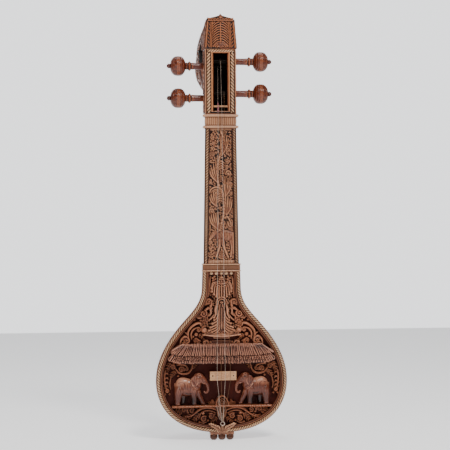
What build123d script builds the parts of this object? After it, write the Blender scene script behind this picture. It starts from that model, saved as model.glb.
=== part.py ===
"""A carved four-string long-necked lute (sitar family), in millimetres.

Frame: the origin is the centre of the flat underside of the middle foot knob. +Z runs up the neck to
the scroll, the carved front faces -Y, and X is across. Peg axes lie along X.
Every carved ornament is a plain solid here, of the true outer size and place of its carving.
"""

import os

from build123d import *

os.makedirs("parts", exist_ok=True)

# ---------------------------------------------------------------- driving dimensions
FRONT_Y = -8.0  # front plane of the rim, the neck frame and the pegbox frame
BOARD_Y = 8.0  # carved ground of the soundboard
BOARD_THICK = 5.0
SHELL_WALL = 9.0

BODY_BOTTOM_Z = 19.5
BODY_WIDE_Z = 154.7
BODY_HALF = 171.0
SHOULDER = (96.0, 310.0)  # where the outline turns from bulging to hollow
WAIST = (50.5, 399.0)
BODY_TOP = (49.4, 437.0)
RIM_WIDTH = 17.0
ROPE_WIDTH = 8.6
ROPE_INSET = 1.6
ROPE_HIGH = 4.2

LOWER_COLLAR_Z = (437.0, 458.0)
LOWER_COLLAR_HALF = 51.0
NECK_Z = (458.0, 808.0)
NECK_HALF = (46.2, 40.5)
NECK_WALL = 7.0
PANEL_Z = (467.0, 803.5)
PANEL_HALF = (34.0, 28.0)
UPPER_COLLAR_Z = (808.0, 846.0)
FLANGE_HALF = 46.8
FLANGE_HIGH = 10.0
COLLAR_WAIST_HALF = 39.8
COLLAR_FRONT_Y = -13.0
TENON_RADIUS = 13.0
TENON_Y = 17.0

PEGBOX_Z = (846.0, 1015.0)
PEGBOX_HALF = 40.5
PEGBOX_WALL = 12.0
PEGBOX_DEEP = 50.0
PEGBOX_BACK = 7.0
OPENING_Z = (854.0, 1004.0)
OPENING_HALF = 18.3

PEG_PLACES = {  # side (+1 is +X), height of the axis, depth of the axis
    "upper_left": (-1, 973.5, 33.5),
    "upper_right": (1, 984.0, 15.5),
    "lower_left": (-1, 889.5, 33.5),
    "lower_right": (1, 900.0, 15.5),
}
PEG_SHAFT_RADIUS = 8.2
PEG_TIP_RADIUS = 5.8
PEG_CLEARANCE = 0.08
PEG_COLLAR_X = 75.0
PEG_HEAD_X = (87.5, 128.0)
PEG_HEAD_RADIUS = 26.0
PEG_FINIAL_RADIUS = 6.0
PEG_END_X = 137.0

VOLUTE_CENTRE = (115.0, 972.0)  # (Y, Z)
VOLUTE_RADIUS = 53.0
VOLUTE_HALF = 46.5
HEAD_TOP_Z = 1094.0
CROWN_TOP_Z = 1106.0
HEAD_TOP_HALF = 34.5

STRING_RADIUS = 0.45
STRING_GAP = 0.4  # from a string's end to the winding on its peg
BRIDGE_Z = 169.0
BRIDGE_TOP_Y = -35.0
BRIDGE_PLATE = (69.0, 23.4, 5.0)
ARCH_Z = 116.0
ARCH_TOP_Y = -21.0
TAIL_LOOP_Z = 44.0
NUT_Z = 866.0
NUT_TOP_Y = -6.5
NUT_THICK = 4.5
STRING_X = {  # X at the bridge, X at the upper collar, X at the peg, and the peg
    "string_1": (-15.6, -7.6, -3.6, "upper_left"),
    "string_2": (-5.2, -2.6, -11.0, "lower_left"),
    "string_3": (5.2, 2.4, 1.8, "upper_right"),
    "string_4": (18.6, 9.0, 10.5, "lower_right"),
}

FOOT_RADIUS = 10.2
FOOT_CENTRE_Z = 9.0
FOOT_SPACING = 21.2

ROOF_Z = (204.0, 248.0)
ROOF_TIP_HALF = 138.0
ROOF_TOP_HALF = 98.0
LEDGE_Z = 88.5
LEDGE_THICK = 5.5
CORNICE_Z = 264.0


def front_plane(y):
    """The plane Y = y seen from the front: X to the right, Z up, extruding towards -Y."""
    return Plane.XZ.offset(-y)


def save(piece, label):
    piece.part.label = label
    export_step(piece.part, f"parts/{label}.step")


def save_largest(piece, label):
    """Save only the largest solid of a piece, without the offcuts behind another part."""
    with BuildPart() as kept:
        add(piece.solids().sort_by(SortBy.VOLUME)[-1])
    save(kept, label)


def body_outline(inset=0):
    """The outline of the body as one closed wire, its curves drawn inwards by inset."""
    low, side = BODY_BOTTOM_Z + inset, BODY_HALF - inset
    shoulder = (SHOULDER[0] - 0.78 * inset, SHOULDER[1] - 0.63 * inset)
    waist = (WAIST[0] - inset, WAIST[1])
    top = (BODY_TOP[0] - inset, BODY_TOP[1] - inset)
    wide = (side, BODY_WIDE_Z)
    lower = [(0, low), (105 - 0.5 * inset, low), (side, BODY_WIDE_Z - 85 + 0.5 * inset), wide]
    upper = [wide, (side, BODY_WIDE_Z + 60), (shoulder[0] + 40.5, shoulder[1] - 45), shoulder]
    hollow = [shoulder, (shoulder[0] - 29, shoulder[1] + 32), (waist[0], waist[1] - 38), waist]
    for curve in (lower, upper, hollow):
        Bezier(*curve)
        Bezier(*[(-x, z) for x, z in curve])
    for hand in (-1, 1):
        Line((hand * waist[0], waist[1]), (hand * top[0], top[1]))
    Line((-top[0], top[1]), top)


def body_face(inset=0):
    """The body's outline, drawn inwards by inset, as a sketch on the front plane."""
    with BuildSketch() as face:
        with BuildLine():
            body_outline(inset)
        make_face()
    return face.sketch


def half_turned(face):
    """The right half of a sketch in X and Z, turned half a turn round Z to fill the side behind."""
    with BuildPart() as turned:
        with BuildSketch(Plane.XZ):
            add(face)
            with Locations((-200, 450)):
                Rectangle(400, 1000, mode=Mode.SUBTRACT)
        revolve(axis=Axis.Z, revolution_arc=180)
    return turned.part


def plate(face, y_back, thick):
    """A sketch drawn in X and Z, made into a plate from y_back forwards."""
    with BuildPart() as made:
        with BuildSketch(front_plane(y_back)):
            add(face)
        extrude(amount=thick)
    return made


# ---------------------------------------------------------------- body
with BuildPart() as bowl_shell:
    add(half_turned(body_face()))
    add(half_turned(body_face(SHELL_WALL)), mode=Mode.SUBTRACT)
    with Locations((0, TENON_Y, BODY_TOP[1])):
        Cylinder(TENON_RADIUS, 4 * SHELL_WALL, mode=Mode.SUBTRACT)
save(bowl_shell, "bowl_shell")

with BuildPart() as soundboard:
    add(plate(body_face(SHELL_WALL), BOARD_Y + BOARD_THICK, BOARD_THICK).part)
    add(bowl_shell.part, mode=Mode.SUBTRACT)
save(soundboard, "soundboard")

BRACE_Z = (BRIDGE_Z, 270.0)
BRACE_HALF = (138.0, 108.0)
with BuildPart() as soundboard_braces:
    for brace_z, brace_half in zip(BRACE_Z, BRACE_HALF):
        with Locations((0, BOARD_Y + BOARD_THICK + 8, brace_z)):
            Box(2 * brace_half, 16, 12)
save(soundboard_braces, "soundboard_braces")

with BuildPart() as end_block:
    with Locations((0, BOARD_Y + BOARD_THICK + 17, 48)):
        Box(70, 34, 44)
    add(bowl_shell.part, mode=Mode.SUBTRACT)
save_largest(end_block, "end_block")

with BuildPart() as rim_frame:
    with BuildSketch(front_plane(0)):
        add(body_face())
        add(body_face(RIM_WIDTH), mode=Mode.SUBTRACT)
        with Locations((0, BODY_TOP[1])):
            Rectangle(2 * (BODY_TOP[0] - RIM_WIDTH), 4 * RIM_WIDTH, mode=Mode.SUBTRACT)
    extrude(amount=-FRONT_Y)
save(rim_frame, "rim_frame")

with BuildPart() as rope_border:
    for step, high in ((0, ROPE_HIGH - 1.6), (1.6, ROPE_HIGH)):
        with BuildSketch(front_plane(FRONT_Y)):
            add(body_face(ROPE_INSET + step))
            add(body_face(ROPE_INSET + ROPE_WIDTH - step), mode=Mode.SUBTRACT)
            with Locations((0, BODY_TOP[1])):
                open_half = BODY_TOP[0] - ROPE_INSET - ROPE_WIDTH + step
                Rectangle(2 * open_half, 4 * RIM_WIDTH, mode=Mode.SUBTRACT)
        extrude(amount=high)
save(rope_border, "rope_border")


# ---------------------------------------------------------------- feet
with BuildPart() as foot_block:
    with Locations((0, 4, 20.5)):
        Box(62, 23.4, 13)
    add(bowl_shell.part, mode=Mode.SUBTRACT)
    add(rim_frame.part, mode=Mode.SUBTRACT)
    for knob in (-1, 0, 1):
        with Locations((knob * FOOT_SPACING, 0, FOOT_CENTRE_Z)):
            Sphere(FOOT_RADIUS, mode=Mode.SUBTRACT)
save_largest(foot_block, "foot_block")

with BuildPart() as foot_knobs:
    for knob in (-1, 0, 1):
        with Locations((knob * FOOT_SPACING, 0, FOOT_CENTRE_Z)):
            Sphere(FOOT_RADIUS)
    split(bisect_by=Plane.XY, keep=Keep.TOP)
save(foot_knobs, "foot_knobs")


# ---------------------------------------------------------------- neck
def neck_half(z, halves=NECK_HALF, ends=NECK_Z):
    share = (z - ends[0]) / (ends[1] - ends[0])
    return halves[0] + share * (halves[1] - halves[0])


def neck_face(low, high, halves, ends):
    """A symmetrical trapezium between two heights."""
    with BuildSketch() as face:
        with BuildLine():
            Polyline(
                (-neck_half(low, halves, ends), low),
                (neck_half(low, halves, ends), low),
                (neck_half(high, halves, ends), high),
                (-neck_half(high, halves, ends), high),
                close=True,
            )
        make_face()
    return face.sketch


inner_half = [half - NECK_WALL for half in NECK_HALF]
hollow_z = (NECK_Z[0] + NECK_WALL, NECK_Z[1] - NECK_WALL)
with BuildPart() as neck_shell:
    add(half_turned(neck_face(*NECK_Z, NECK_HALF, NECK_Z)))
    add(half_turned(neck_face(*hollow_z, inner_half, NECK_Z)), mode=Mode.SUBTRACT)
    for end_z in NECK_Z:
        with Locations((0, TENON_Y, end_z)):
            Cylinder(TENON_RADIUS, 4 * NECK_WALL, mode=Mode.SUBTRACT)
save(neck_shell, "neck_shell")

NECK_BOARD_THICK = 4.0
with BuildPart() as neck_board:
    add(plate(neck_face(*hollow_z, inner_half, NECK_Z), NECK_BOARD_THICK, NECK_BOARD_THICK).part)
    add(neck_shell.part, mode=Mode.SUBTRACT)
save(neck_board, "neck_board")

with BuildPart() as neck_frame:
    add(plate(neck_face(*NECK_Z, NECK_HALF, NECK_Z), 0, -FRONT_Y).part)
    add(plate(neck_face(*PANEL_Z, PANEL_HALF, PANEL_Z), 0, -FRONT_Y).part, mode=Mode.SUBTRACT)
save(neck_frame, "neck_frame")

with BuildPart() as neck_carving:
    add(plate(neck_face(*PANEL_Z, PANEL_HALF, PANEL_Z), 0, -FRONT_Y - 0.5).part)
save(neck_carving, "neck_carving")

TENONS = {"neck_tenon": LOWER_COLLAR_Z, "head_tenon": UPPER_COLLAR_Z}
for tenon_name, (tenon_low, tenon_high) in TENONS.items():
    with BuildPart() as tenon:
        with Locations((0, TENON_Y, (tenon_low + tenon_high) / 2)):
            Cylinder(TENON_RADIUS, tenon_high - tenon_low + 2 * NECK_WALL)
    save(tenon, tenon_name)


# ---------------------------------------------------------------- collars
def collar_slab(half, front_y, low, high, edge):
    """A slab with a flat front and a half-round back, with rounded top and bottom edges."""
    with BuildPart() as slab:
        with BuildSketch(Plane.XY.offset(low)):
            with BuildLine():
                Polyline((half, 0), (half, front_y), (-half, front_y), (-half, 0))
                ThreePointArc((-half, 0), (0, half), (half, 0))
            make_face()
        extrude(amount=high - low)
        if edge:
            ends = slab.faces().filter_by(Axis.Z)
            fillet(ends.edges(), edge)
    return slab.part


with BuildPart() as lower_collar:
    low_z, high_z = LOWER_COLLAR_Z
    add(collar_slab(LOWER_COLLAR_HALF - 1.6, -11.5, low_z, high_z, 0))
    add(collar_slab(LOWER_COLLAR_HALF, -13.5, low_z, low_z + 4.5, 1.8))
    add(collar_slab(LOWER_COLLAR_HALF, -13.5, high_z - 4.5, high_z, 1.8))
    with Locations((0, TENON_Y, (low_z + high_z) / 2)):
        Cylinder(TENON_RADIUS, 60, mode=Mode.SUBTRACT)
save(lower_collar, "lower_collar")

with BuildPart() as upper_collar:
    low_z, high_z = UPPER_COLLAR_Z
    add(collar_slab(COLLAR_WAIST_HALF, -11.0, low_z, high_z, 0))
    add(collar_slab(FLANGE_HALF, COLLAR_FRONT_Y, low_z, low_z + FLANGE_HIGH, 4.6))
    add(collar_slab(FLANGE_HALF, COLLAR_FRONT_Y, high_z - FLANGE_HIGH, high_z, 4.6))
    with Locations((0, TENON_Y, (low_z + high_z) / 2)):
        Cylinder(TENON_RADIUS, 80, mode=Mode.SUBTRACT)
save(upper_collar, "upper_collar")


# ---------------------------------------------------------------- pegbox
def peg_radius(reach):
    """The shaft's radius at a distance from the pegbox's middle, positive towards the peg's own head."""
    share = (PEGBOX_HALF - min(reach, PEGBOX_HALF)) / (2 * PEGBOX_HALF)
    return PEG_SHAFT_RADIUS + share * (PEG_TIP_RADIUS - PEG_SHAFT_RADIUS)


def peg_plane(side, z, y):
    """A plane through the peg's axis: local X runs out along the peg, local Y is the radius."""
    return Plane(origin=(0, y, z), x_dir=(side, 0, 0), z_dir=(0, -side, 0))


with BuildPart() as pegbox:
    pegbox_mid_z = sum(PEGBOX_Z) / 2
    with Locations((0, PEGBOX_DEEP / 2, pegbox_mid_z)):
        Box(2 * PEGBOX_HALF, PEGBOX_DEEP, PEGBOX_Z[1] - PEGBOX_Z[0])
    back_edges = pegbox.edges().filter_by(Axis.Z).group_by(Axis.Y)[-1]
    fillet(back_edges, 16)
    cavity_deep = PEGBOX_DEEP - PEGBOX_BACK
    with Locations((0, cavity_deep / 2, sum(OPENING_Z) / 2)):
        Box(
            2 * (PEGBOX_HALF - PEGBOX_WALL),
            cavity_deep,
            OPENING_Z[1] - OPENING_Z[0],
            mode=Mode.SUBTRACT,
        )
    with Locations((0, TENON_Y, PEGBOX_Z[0])):
        Cylinder(TENON_RADIUS, 2 * NECK_WALL, mode=Mode.SUBTRACT)
    for side, z, y in PEG_PLACES.values():
        with BuildSketch(peg_plane(side, z, y)):
            with BuildLine():
                reach = PEGBOX_HALF + 1
                Polyline(
                    (-reach, 0),
                    (reach, 0),
                    (reach, peg_radius(reach) + PEG_CLEARANCE),
                    (-reach, peg_radius(-reach) + PEG_CLEARANCE),
                    close=True,
                )
            make_face()
        revolve(axis=Axis((0, y, z), (1, 0, 0)), mode=Mode.SUBTRACT)
save(pegbox, "pegbox")

with BuildPart() as pegbox_frame:
    with BuildSketch(front_plane(0)):
        with Locations((0, pegbox_mid_z)):
            Rectangle(2 * PEGBOX_HALF, PEGBOX_Z[1] - PEGBOX_Z[0])
        with Locations((0, sum(OPENING_Z) / 2)):
            Rectangle(2 * OPENING_HALF, OPENING_Z[1] - OPENING_Z[0], mode=Mode.SUBTRACT)
    extrude(amount=-FRONT_Y)
    opening_edges = pegbox_frame.faces().sort_by(Axis.Y)[0].inner_wires()[0].edges()
    chamfer(opening_edges, 2.0)
save(pegbox_frame, "pegbox_frame")


# ---------------------------------------------------------------- head
with BuildPart() as scroll_head:
    # side profile: local X is +Y, local Y is +Z
    side_plane = Plane(origin=(0, 0, 0), x_dir=(0, 1, 0), z_dir=(1, 0, 0))
    foot_z = PEGBOX_Z[1]
    with BuildSketch(side_plane):
        with BuildLine():
            Line((FRONT_Y, foot_z), (FRONT_Y, HEAD_TOP_Z - 4))
            Line((FRONT_Y, HEAD_TOP_Z - 4), (FRONT_Y + 4, HEAD_TOP_Z))
            Spline(
                (FRONT_Y + 4, HEAD_TOP_Z),
                (40, 1082),
                (85, 1062),
                (128, 1036),
                (158, 1002),
                (VOLUTE_CENTRE[0] + VOLUTE_RADIUS, VOLUTE_CENTRE[1]),
                tangents=((1, -0.05), (0, -1)),
            )
            Spline(
                (PEGBOX_DEEP, foot_z),
                (59, 1031),
                (78, 1037),
                (96, 1027),
                (104, 1008),
                tangents=((0.2, 1), (0, -1)),
            )
            Line((FRONT_Y, foot_z), (PEGBOX_DEEP, foot_z))
            Polyline(
                (104, 1008),
                VOLUTE_CENTRE,
                (VOLUTE_CENTRE[0] + VOLUTE_RADIUS, VOLUTE_CENTRE[1]),
            )
        make_face()
    extrude(amount=PEGBOX_HALF, both=True)
    with BuildPart(mode=Mode.INTERSECT):
        with BuildSketch(front_plane(VOLUTE_CENTRE[0] + VOLUTE_RADIUS + 5)):
            with BuildLine():
                Polyline(
                    (-PEGBOX_HALF, 900),
                    (PEGBOX_HALF, 900),
                    (PEGBOX_HALF, foot_z + 5),
                    (HEAD_TOP_HALF, HEAD_TOP_Z + 2),
                    (-HEAD_TOP_HALF, HEAD_TOP_Z + 2),
                    (-PEGBOX_HALF, foot_z + 5),
                    close=True,
                )
            make_face()
        extrude(amount=220)
    with BuildSketch(side_plane):
        with Locations(VOLUTE_CENTRE):
            Circle(VOLUTE_RADIUS)
    extrude(amount=VOLUTE_HALF, both=True)
save(scroll_head, "scroll_head")

for rosette_name, rosette_side in (("rosette_left", -1), ("rosette_right", 1)):
    with BuildPart() as rosette:
        rosette_x = rosette_side * (VOLUTE_HALF + 2)
        with Locations((rosette_x, VOLUTE_CENTRE[0], VOLUTE_CENTRE[1])):
            Cylinder(17, 4, rotation=(0, 90, 0))
    save(rosette, rosette_name)

with BuildPart() as head_crown:
    with BuildSketch(front_plane(FRONT_Y + 12)):
        with BuildLine():
            Polyline(
                (-34, HEAD_TOP_Z - 8),
                (34, HEAD_TOP_Z - 8),
                (34, HEAD_TOP_Z + 2),
                (13, HEAD_TOP_Z + 6),
                (0, CROWN_TOP_Z),
                (-13, HEAD_TOP_Z + 6),
                (-34, HEAD_TOP_Z + 2),
                close=True,
            )
        make_face()
    extrude(amount=16)
    add(scroll_head.part, mode=Mode.SUBTRACT)
save_largest(head_crown, "head_crown")

with BuildPart() as head_leaf_panel:
    with BuildSketch(front_plane(FRONT_Y)):
        with BuildLine():
            panel_low = foot_z + 3
            panel_high = HEAD_TOP_Z - 9
            Polyline((-36, panel_low), (36, panel_low), (31, panel_high), (-31, panel_high), close=True)
        make_face()
    extrude(amount=4.5)
save(head_leaf_panel, "head_leaf_panel")


# ---------------------------------------------------------------- pegs and windings
PEG_PROFILE = [  # (distance from the pegbox's middle, radius) from the shaft out to the tip
    (PEG_COLLAR_X - 1, PEG_SHAFT_RADIUS),
    (PEG_COLLAR_X, 10.2),
    (PEG_COLLAR_X + 2.5, 12.4),
    (PEG_COLLAR_X + 5, 10.2),
    (PEG_COLLAR_X + 7.5, 9.0),
    (PEG_COLLAR_X + 10, 9.6),
    (PEG_HEAD_X[0], 11.5),
]
for peg_name, (side, z, y) in PEG_PLACES.items():
    with BuildPart() as peg:
        with BuildSketch(peg_plane(side, z, y)):
            with BuildLine():
                tip = -PEGBOX_HALF + 1
                mid_x = sum(PEG_HEAD_X) / 2
                head_end = (PEG_HEAD_X[1] - 2, 8.5)
                knob_x = PEG_END_X - PEG_FINIAL_RADIUS
                neck_end = (knob_x - 0.6 * PEG_FINIAL_RADIUS, 0.8 * PEG_FINIAL_RADIUS)
                knob_side = (knob_x + 0.6 * PEG_FINIAL_RADIUS, 0.8 * PEG_FINIAL_RADIUS)
                Polyline(
                    (tip, 0),
                    (tip, peg_radius(tip)),
                    (PEGBOX_HALF, PEG_SHAFT_RADIUS),
                    *PEG_PROFILE,
                )
                ThreePointArc(
                    PEG_PROFILE[-1], (mid_x - 9, PEG_HEAD_RADIUS - 2.6), (mid_x - 5, PEG_HEAD_RADIUS - 1)
                )
                Polyline(
                    (mid_x - 5, PEG_HEAD_RADIUS - 1),
                    (mid_x - 4, PEG_HEAD_RADIUS),
                    (mid_x + 4, PEG_HEAD_RADIUS),
                    (mid_x + 5, PEG_HEAD_RADIUS - 1),
                )
                ThreePointArc((mid_x + 5, PEG_HEAD_RADIUS - 1), (mid_x + 13, PEG_HEAD_RADIUS - 7), head_end)
                Line(head_end, neck_end)
                ThreePointArc(neck_end, knob_side, (PEG_END_X, 0))
                Line((PEG_END_X, 0), (tip, 0))
            make_face()
        revolve(axis=Axis((0, y, z), (1, 0, 0)))
    save(peg, f"peg_{peg_name}")

WINDING_HALF = 3.2
WINDING_HIGH = 1.1
string_of_peg = {places[3]: places[2] for places in STRING_X.values()}
for peg_name, (side, z, y) in PEG_PLACES.items():
    with BuildPart() as winding:
        with BuildSketch(peg_plane(side, z, y)):
            with BuildLine():
                near = string_of_peg[peg_name] * side - WINDING_HALF
                far = string_of_peg[peg_name] * side + WINDING_HALF
                Polyline(
                    (near, peg_radius(near)),
                    (far, peg_radius(far)),
                    (far, peg_radius(far) + WINDING_HIGH),
                    (near, peg_radius(near) + WINDING_HIGH),
                    close=True,
                )
            make_face()
        revolve(axis=Axis((0, y, z), (1, 0, 0)))
    save(winding, f"winding_{peg_name}")


# ---------------------------------------------------------------- bridge, nut, saddle and tail
plate_wide, plate_high, plate_thick = BRIDGE_PLATE
bridge_base_top = BRIDGE_TOP_Y + plate_thick
with BuildPart() as bridge_base:
    with BuildSketch(Plane.XY.offset(BRIDGE_Z - 8)):
        with BuildLine():
            Polyline(
                (-31, BOARD_Y),
                (-18, BOARD_Y),
                (-15, -8),
                (15, -8),
                (18, BOARD_Y),
                (31, BOARD_Y),
                (31, bridge_base_top),
                (-31, bridge_base_top),
                close=True,
            )
        make_face()
    extrude(amount=16)
    for pin_side in (-1, 1):
        with Locations((pin_side * 27, bridge_base_top + 3, BRIDGE_Z)):
            Cylinder(1.7, 6, rotation=(90, 0, 0), mode=Mode.SUBTRACT)
save(bridge_base, "bridge_base")

with BuildPart() as bridge_plate:
    with Locations((0, BRIDGE_TOP_Y + plate_thick / 2, BRIDGE_Z)):
        Box(plate_wide, plate_thick, plate_high)
    fillet(bridge_plate.faces().sort_by(Axis.Y)[0].edges(), 1.2)
    for pin_side in (-1, 1):
        with Locations((pin_side * 27, BRIDGE_TOP_Y, BRIDGE_Z)):
            Cylinder(1.7, 30, rotation=(90, 0, 0), mode=Mode.SUBTRACT)
save(bridge_plate, "bridge_plate")

with BuildPart() as bridge_pins:
    for pin_side in (-1, 1):
        pin_length = plate_thick + 6
        with Locations((pin_side * 27, BRIDGE_TOP_Y + pin_length / 2, BRIDGE_Z)):
            Cylinder(1.7, pin_length, rotation=(90, 0, 0))
save(bridge_pins, "bridge_pins")

with BuildPart() as nut:
    with Locations((0, NUT_TOP_Y + 7, NUT_Z)):
        Box(2 * OPENING_HALF, 14, NUT_THICK)
    fillet(nut.faces().sort_by(Axis.Y)[0].edges().filter_by(Axis.X), 2.0)
save(nut, "nut")

with BuildPart() as shrine_arch:
    with BuildSketch(front_plane(BOARD_Y)):
        with BuildLine():
            arch_foot = LEDGE_Z + LEDGE_THICK / 2
            Polyline((-30, arch_foot), (-30, 101), (-22, 106))
            ThreePointArc((-22, 106), (0, ARCH_Z), (22, 106))
            Polyline((22, 106), (30, 101), (30, arch_foot), (-30, arch_foot))
        make_face()
    extrude(amount=BOARD_Y - ARCH_TOP_Y)
save(shrine_arch, "shrine_arch")

with BuildPart() as tail_leaf:
    with BuildSketch(front_plane(FRONT_Y - ROPE_HIGH)):
        with BuildLine():
            Polyline((-10, 21), (10, 21))
            Spline((10, 21), (22, 34), (36, 44))
            Spline((36, 44), (20, 44), (6, 38))
            Line((6, 38), (-6, 38))
            Spline((-6, 38), (-20, 44), (-36, 44))
            Spline((-36, 44), (-22, 34), (-10, 21))
        make_face()
    extrude(amount=5)
save(tail_leaf, "tail_leaf")

LOOP_RADIUS = 5.0
LOOP_WIRE = 1.3
loop_y = FRONT_Y - ROPE_HIGH - 5 - LOOP_WIRE
with BuildPart() as tail_loop:
    with BuildSketch(Plane(origin=(0, loop_y, TAIL_LOOP_Z), x_dir=(1, 0, 0), z_dir=(0, 0, 1))):
        with Locations((LOOP_RADIUS, 0)):
            Circle(LOOP_WIRE)
    revolve(axis=Axis((0, loop_y, TAIL_LOOP_Z), (0, 1, 0)))
save(tail_loop, "tail_loop")


def wire_along(points, radius):
    """A round wire along straight runs, with a ball at each inner bend."""
    with BuildPart() as wire:
        for start, end in zip(points, points[1:]):
            run = Vector(*end) - Vector(*start)
            with BuildSketch(Plane(origin=start, z_dir=run)):
                Circle(radius)
            extrude(amount=run.length)
        for bend in points[1:-1]:
            with Locations(bend):
                Sphere(radius)
    return wire


for string_name, (bridge_x, collar_x, peg_x, peg_name) in STRING_X.items():
    side, peg_z, peg_y = PEG_PLACES[peg_name]
    winding_radius = peg_radius(peg_x * side) + WINDING_HIGH
    off = STRING_RADIUS + 0.05
    path = [
        (bridge_x * 0.12, loop_y - LOOP_WIRE - off, TAIL_LOOP_Z + LOOP_RADIUS),
        (bridge_x, BRIDGE_TOP_Y - off, BRIDGE_Z - plate_high / 2),
        (bridge_x, BRIDGE_TOP_Y - off, BRIDGE_Z + plate_high / 2),
        (collar_x, COLLAR_FRONT_Y - off - 0.3, UPPER_COLLAR_Z[1] - FLANGE_HIGH / 2),
        (collar_x, NUT_TOP_Y - off, NUT_Z + NUT_THICK / 2),
        (peg_x, peg_y - winding_radius - STRING_RADIUS - STRING_GAP, peg_z),
    ]
    save(wire_along(path, STRING_RADIUS), string_name)


# ---------------------------------------------------------------- ornament on the soundboard
def ornament(y_front):
    """How far a carving stands out of the board to reach y_front."""
    return BOARD_Y - y_front


with BuildPart() as bead_row:
    for bead_x in (-26, -13, 0, 13, 26):
        with Locations((bead_x, -4, 432.5)):
            Sphere(4)
        with Locations((bead_x, -2, 432.5)):
            Cylinder(2, 4, rotation=(90, 0, 0))
save(bead_row, "bead_row")

with BuildPart() as roof_eave:
    with BuildSketch(Plane(origin=(-160, 0, 0), x_dir=(0, 1, 0), z_dir=(1, 0, 0))):
        with BuildLine():
            Polyline(
                (BOARD_Y, ROOF_Z[1]),
                (-8, ROOF_Z[1]),
                (-20, ROOF_Z[0] + 20),
                (-27, ROOF_Z[0] + 3),
                (-25, ROOF_Z[0]),
                (BOARD_Y, ROOF_Z[0] + 12),
                close=True,
            )
        make_face()
    extrude(amount=320)
    with BuildPart(mode=Mode.INTERSECT):
        with BuildSketch(front_plane(BOARD_Y + 5)):
            with BuildLine():
                Polyline(
                    (-ROOF_TOP_HALF, ROOF_Z[1]),
                    (-ROOF_TIP_HALF, ROOF_Z[0] + 8),
                    (-ROOF_TIP_HALF + 22, ROOF_Z[0]),
                    (ROOF_TIP_HALF - 22, ROOF_Z[0]),
                    (ROOF_TIP_HALF, ROOF_Z[0] + 8),
                    (ROOF_TOP_HALF, ROOF_Z[1]),
                    close=True,
                )
            make_face()
        extrude(amount=60)
save(roof_eave, "roof_eave")

with BuildPart() as cornice:
    with BuildSketch(front_plane(BOARD_Y)):
        with BuildLine():
            Polyline((-20, CORNICE_Z - 14), (20, CORNICE_Z - 14), (24, CORNICE_Z), (44, CORNICE_Z))
            Spline((44, CORNICE_Z), (52, CORNICE_Z + 4), (56, CORNICE_Z + 12))
            Polyline((56, CORNICE_Z + 12), (-56, CORNICE_Z + 12))
            Spline((-56, CORNICE_Z + 12), (-52, CORNICE_Z + 4), (-44, CORNICE_Z))
            Polyline((-44, CORNICE_Z), (-24, CORNICE_Z), (-20, CORNICE_Z - 14))
        make_face()
    extrude(amount=ornament(-22))
save(cornice, "cornice")

with BuildPart() as palmette:
    with BuildSketch(front_plane(BOARD_Y)):
        with BuildLine():
            Polyline((-48, CORNICE_Z + 12), (48, CORNICE_Z + 12))
            Spline((48, CORNICE_Z + 12), (30, 300), (17, 335), (20, 365), (20, 400), (0, 424))
            Spline((0, 424), (-20, 400), (-20, 365), (-17, 335), (-30, 300), (-48, CORNICE_Z + 12))
        make_face()
    extrude(amount=ornament(-16))
save(palmette, "palmette")

with BuildPart() as elephant_ledge:
    with BuildSketch(front_plane(BOARD_Y)):
        with Locations((0, LEDGE_Z)):
            Rectangle(262, LEDGE_THICK)
    extrude(amount=ornament(-17))
save(elephant_ledge, "elephant_ledge")


def vine(points, width, y_front, balls=()):
    """A carved tendril: a band of constant width along a smooth line, with round bosses on it."""
    with BuildPart() as made:
        with BuildSketch(front_plane(BOARD_Y)):
            with BuildLine():
                Spline(*points)
            trace(line_width=width)
            for x, z, radius in balls:
                with Locations((x, z)):
                    Circle(radius)
        extrude(amount=ornament(y_front))
    return made


def mirrored(points, side):
    return [(side * p[0], *p[1:]) for p in points]


SHOULDER_VINE = [(30, 374), (31, 352), (43, 334), (60, 312), (58, 292), (76, 284), (92, 262)]
SHOULDER_BALLS = [(30, 358, 7), (46, 322, 8), (62, 300, 11), (74, 272, 11), (90, 259, 9)]
BRACKET_VINE = [(134, 124), (138, 150), (135, 176), (118, 190), (96, 182), (80, 196)]
BRACKET_BALLS = [(134, 124, 8), (138, 186, 8), (112, 184, 11)]
LOWER_VINE = [(18, 60), (40, 77), (62, 69), (78, 58), (92, 66), (108, 77), (116, 76)]
LOWER_BALLS = [(34, 60, 10), (62, 58, 10), (96, 73, 7)]
for side_name, side in (("left", -1), ("right", 1)):
    shoulder = vine(mirrored(SHOULDER_VINE, side), 11, -12, mirrored(SHOULDER_BALLS, side))
    save(shoulder, f"shoulder_scrolls_{side_name}")
    bracket = vine(mirrored(BRACKET_VINE, side), 9, -12, mirrored(BRACKET_BALLS, side))
    save(bracket, f"eave_bracket_{side_name}")
    lower = vine(mirrored(LOWER_VINE, side), 11, -8, mirrored(LOWER_BALLS, side))
    save(lower, f"lower_scrolls_{side_name}")

ELEPHANT_X = 84.0
ELEPHANT_FLOOR = LEDGE_Z + LEDGE_THICK / 2
for side_name, side in (("left", -1), ("right", 1)):
    with BuildPart() as elephant:
        with BuildSketch(front_plane(-12)):
            with Locations((side * (ELEPHANT_X + 6), ELEPHANT_FLOOR + 52)):
                Ellipse(32, 25)
            with Locations((side * (ELEPHANT_X - 25), ELEPHANT_FLOOR + 64)):
                Ellipse(15, 18)
            for leg_x in (-22, -6, 18, 32):
                with Locations((side * (ELEPHANT_X + leg_x), ELEPHANT_FLOOR + 20)):
                    Rectangle(11, 40)
            with BuildLine():
                trunk = [(-33, 62), (-43, 44), (-43, 28), (-34, 22)]
                Spline(*[(side * (ELEPHANT_X + x), ELEPHANT_FLOOR + up) for x, up in trunk])
            trace(line_width=8)
        extrude(amount=7, both=True)
        with Locations((side * (ELEPHANT_X + 6), (BOARD_Y - 6) / 2, ELEPHANT_FLOOR + 55)):
            Box(30, BOARD_Y + 6, 30)
    save(elephant, f"elephant_{side_name}")
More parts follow.
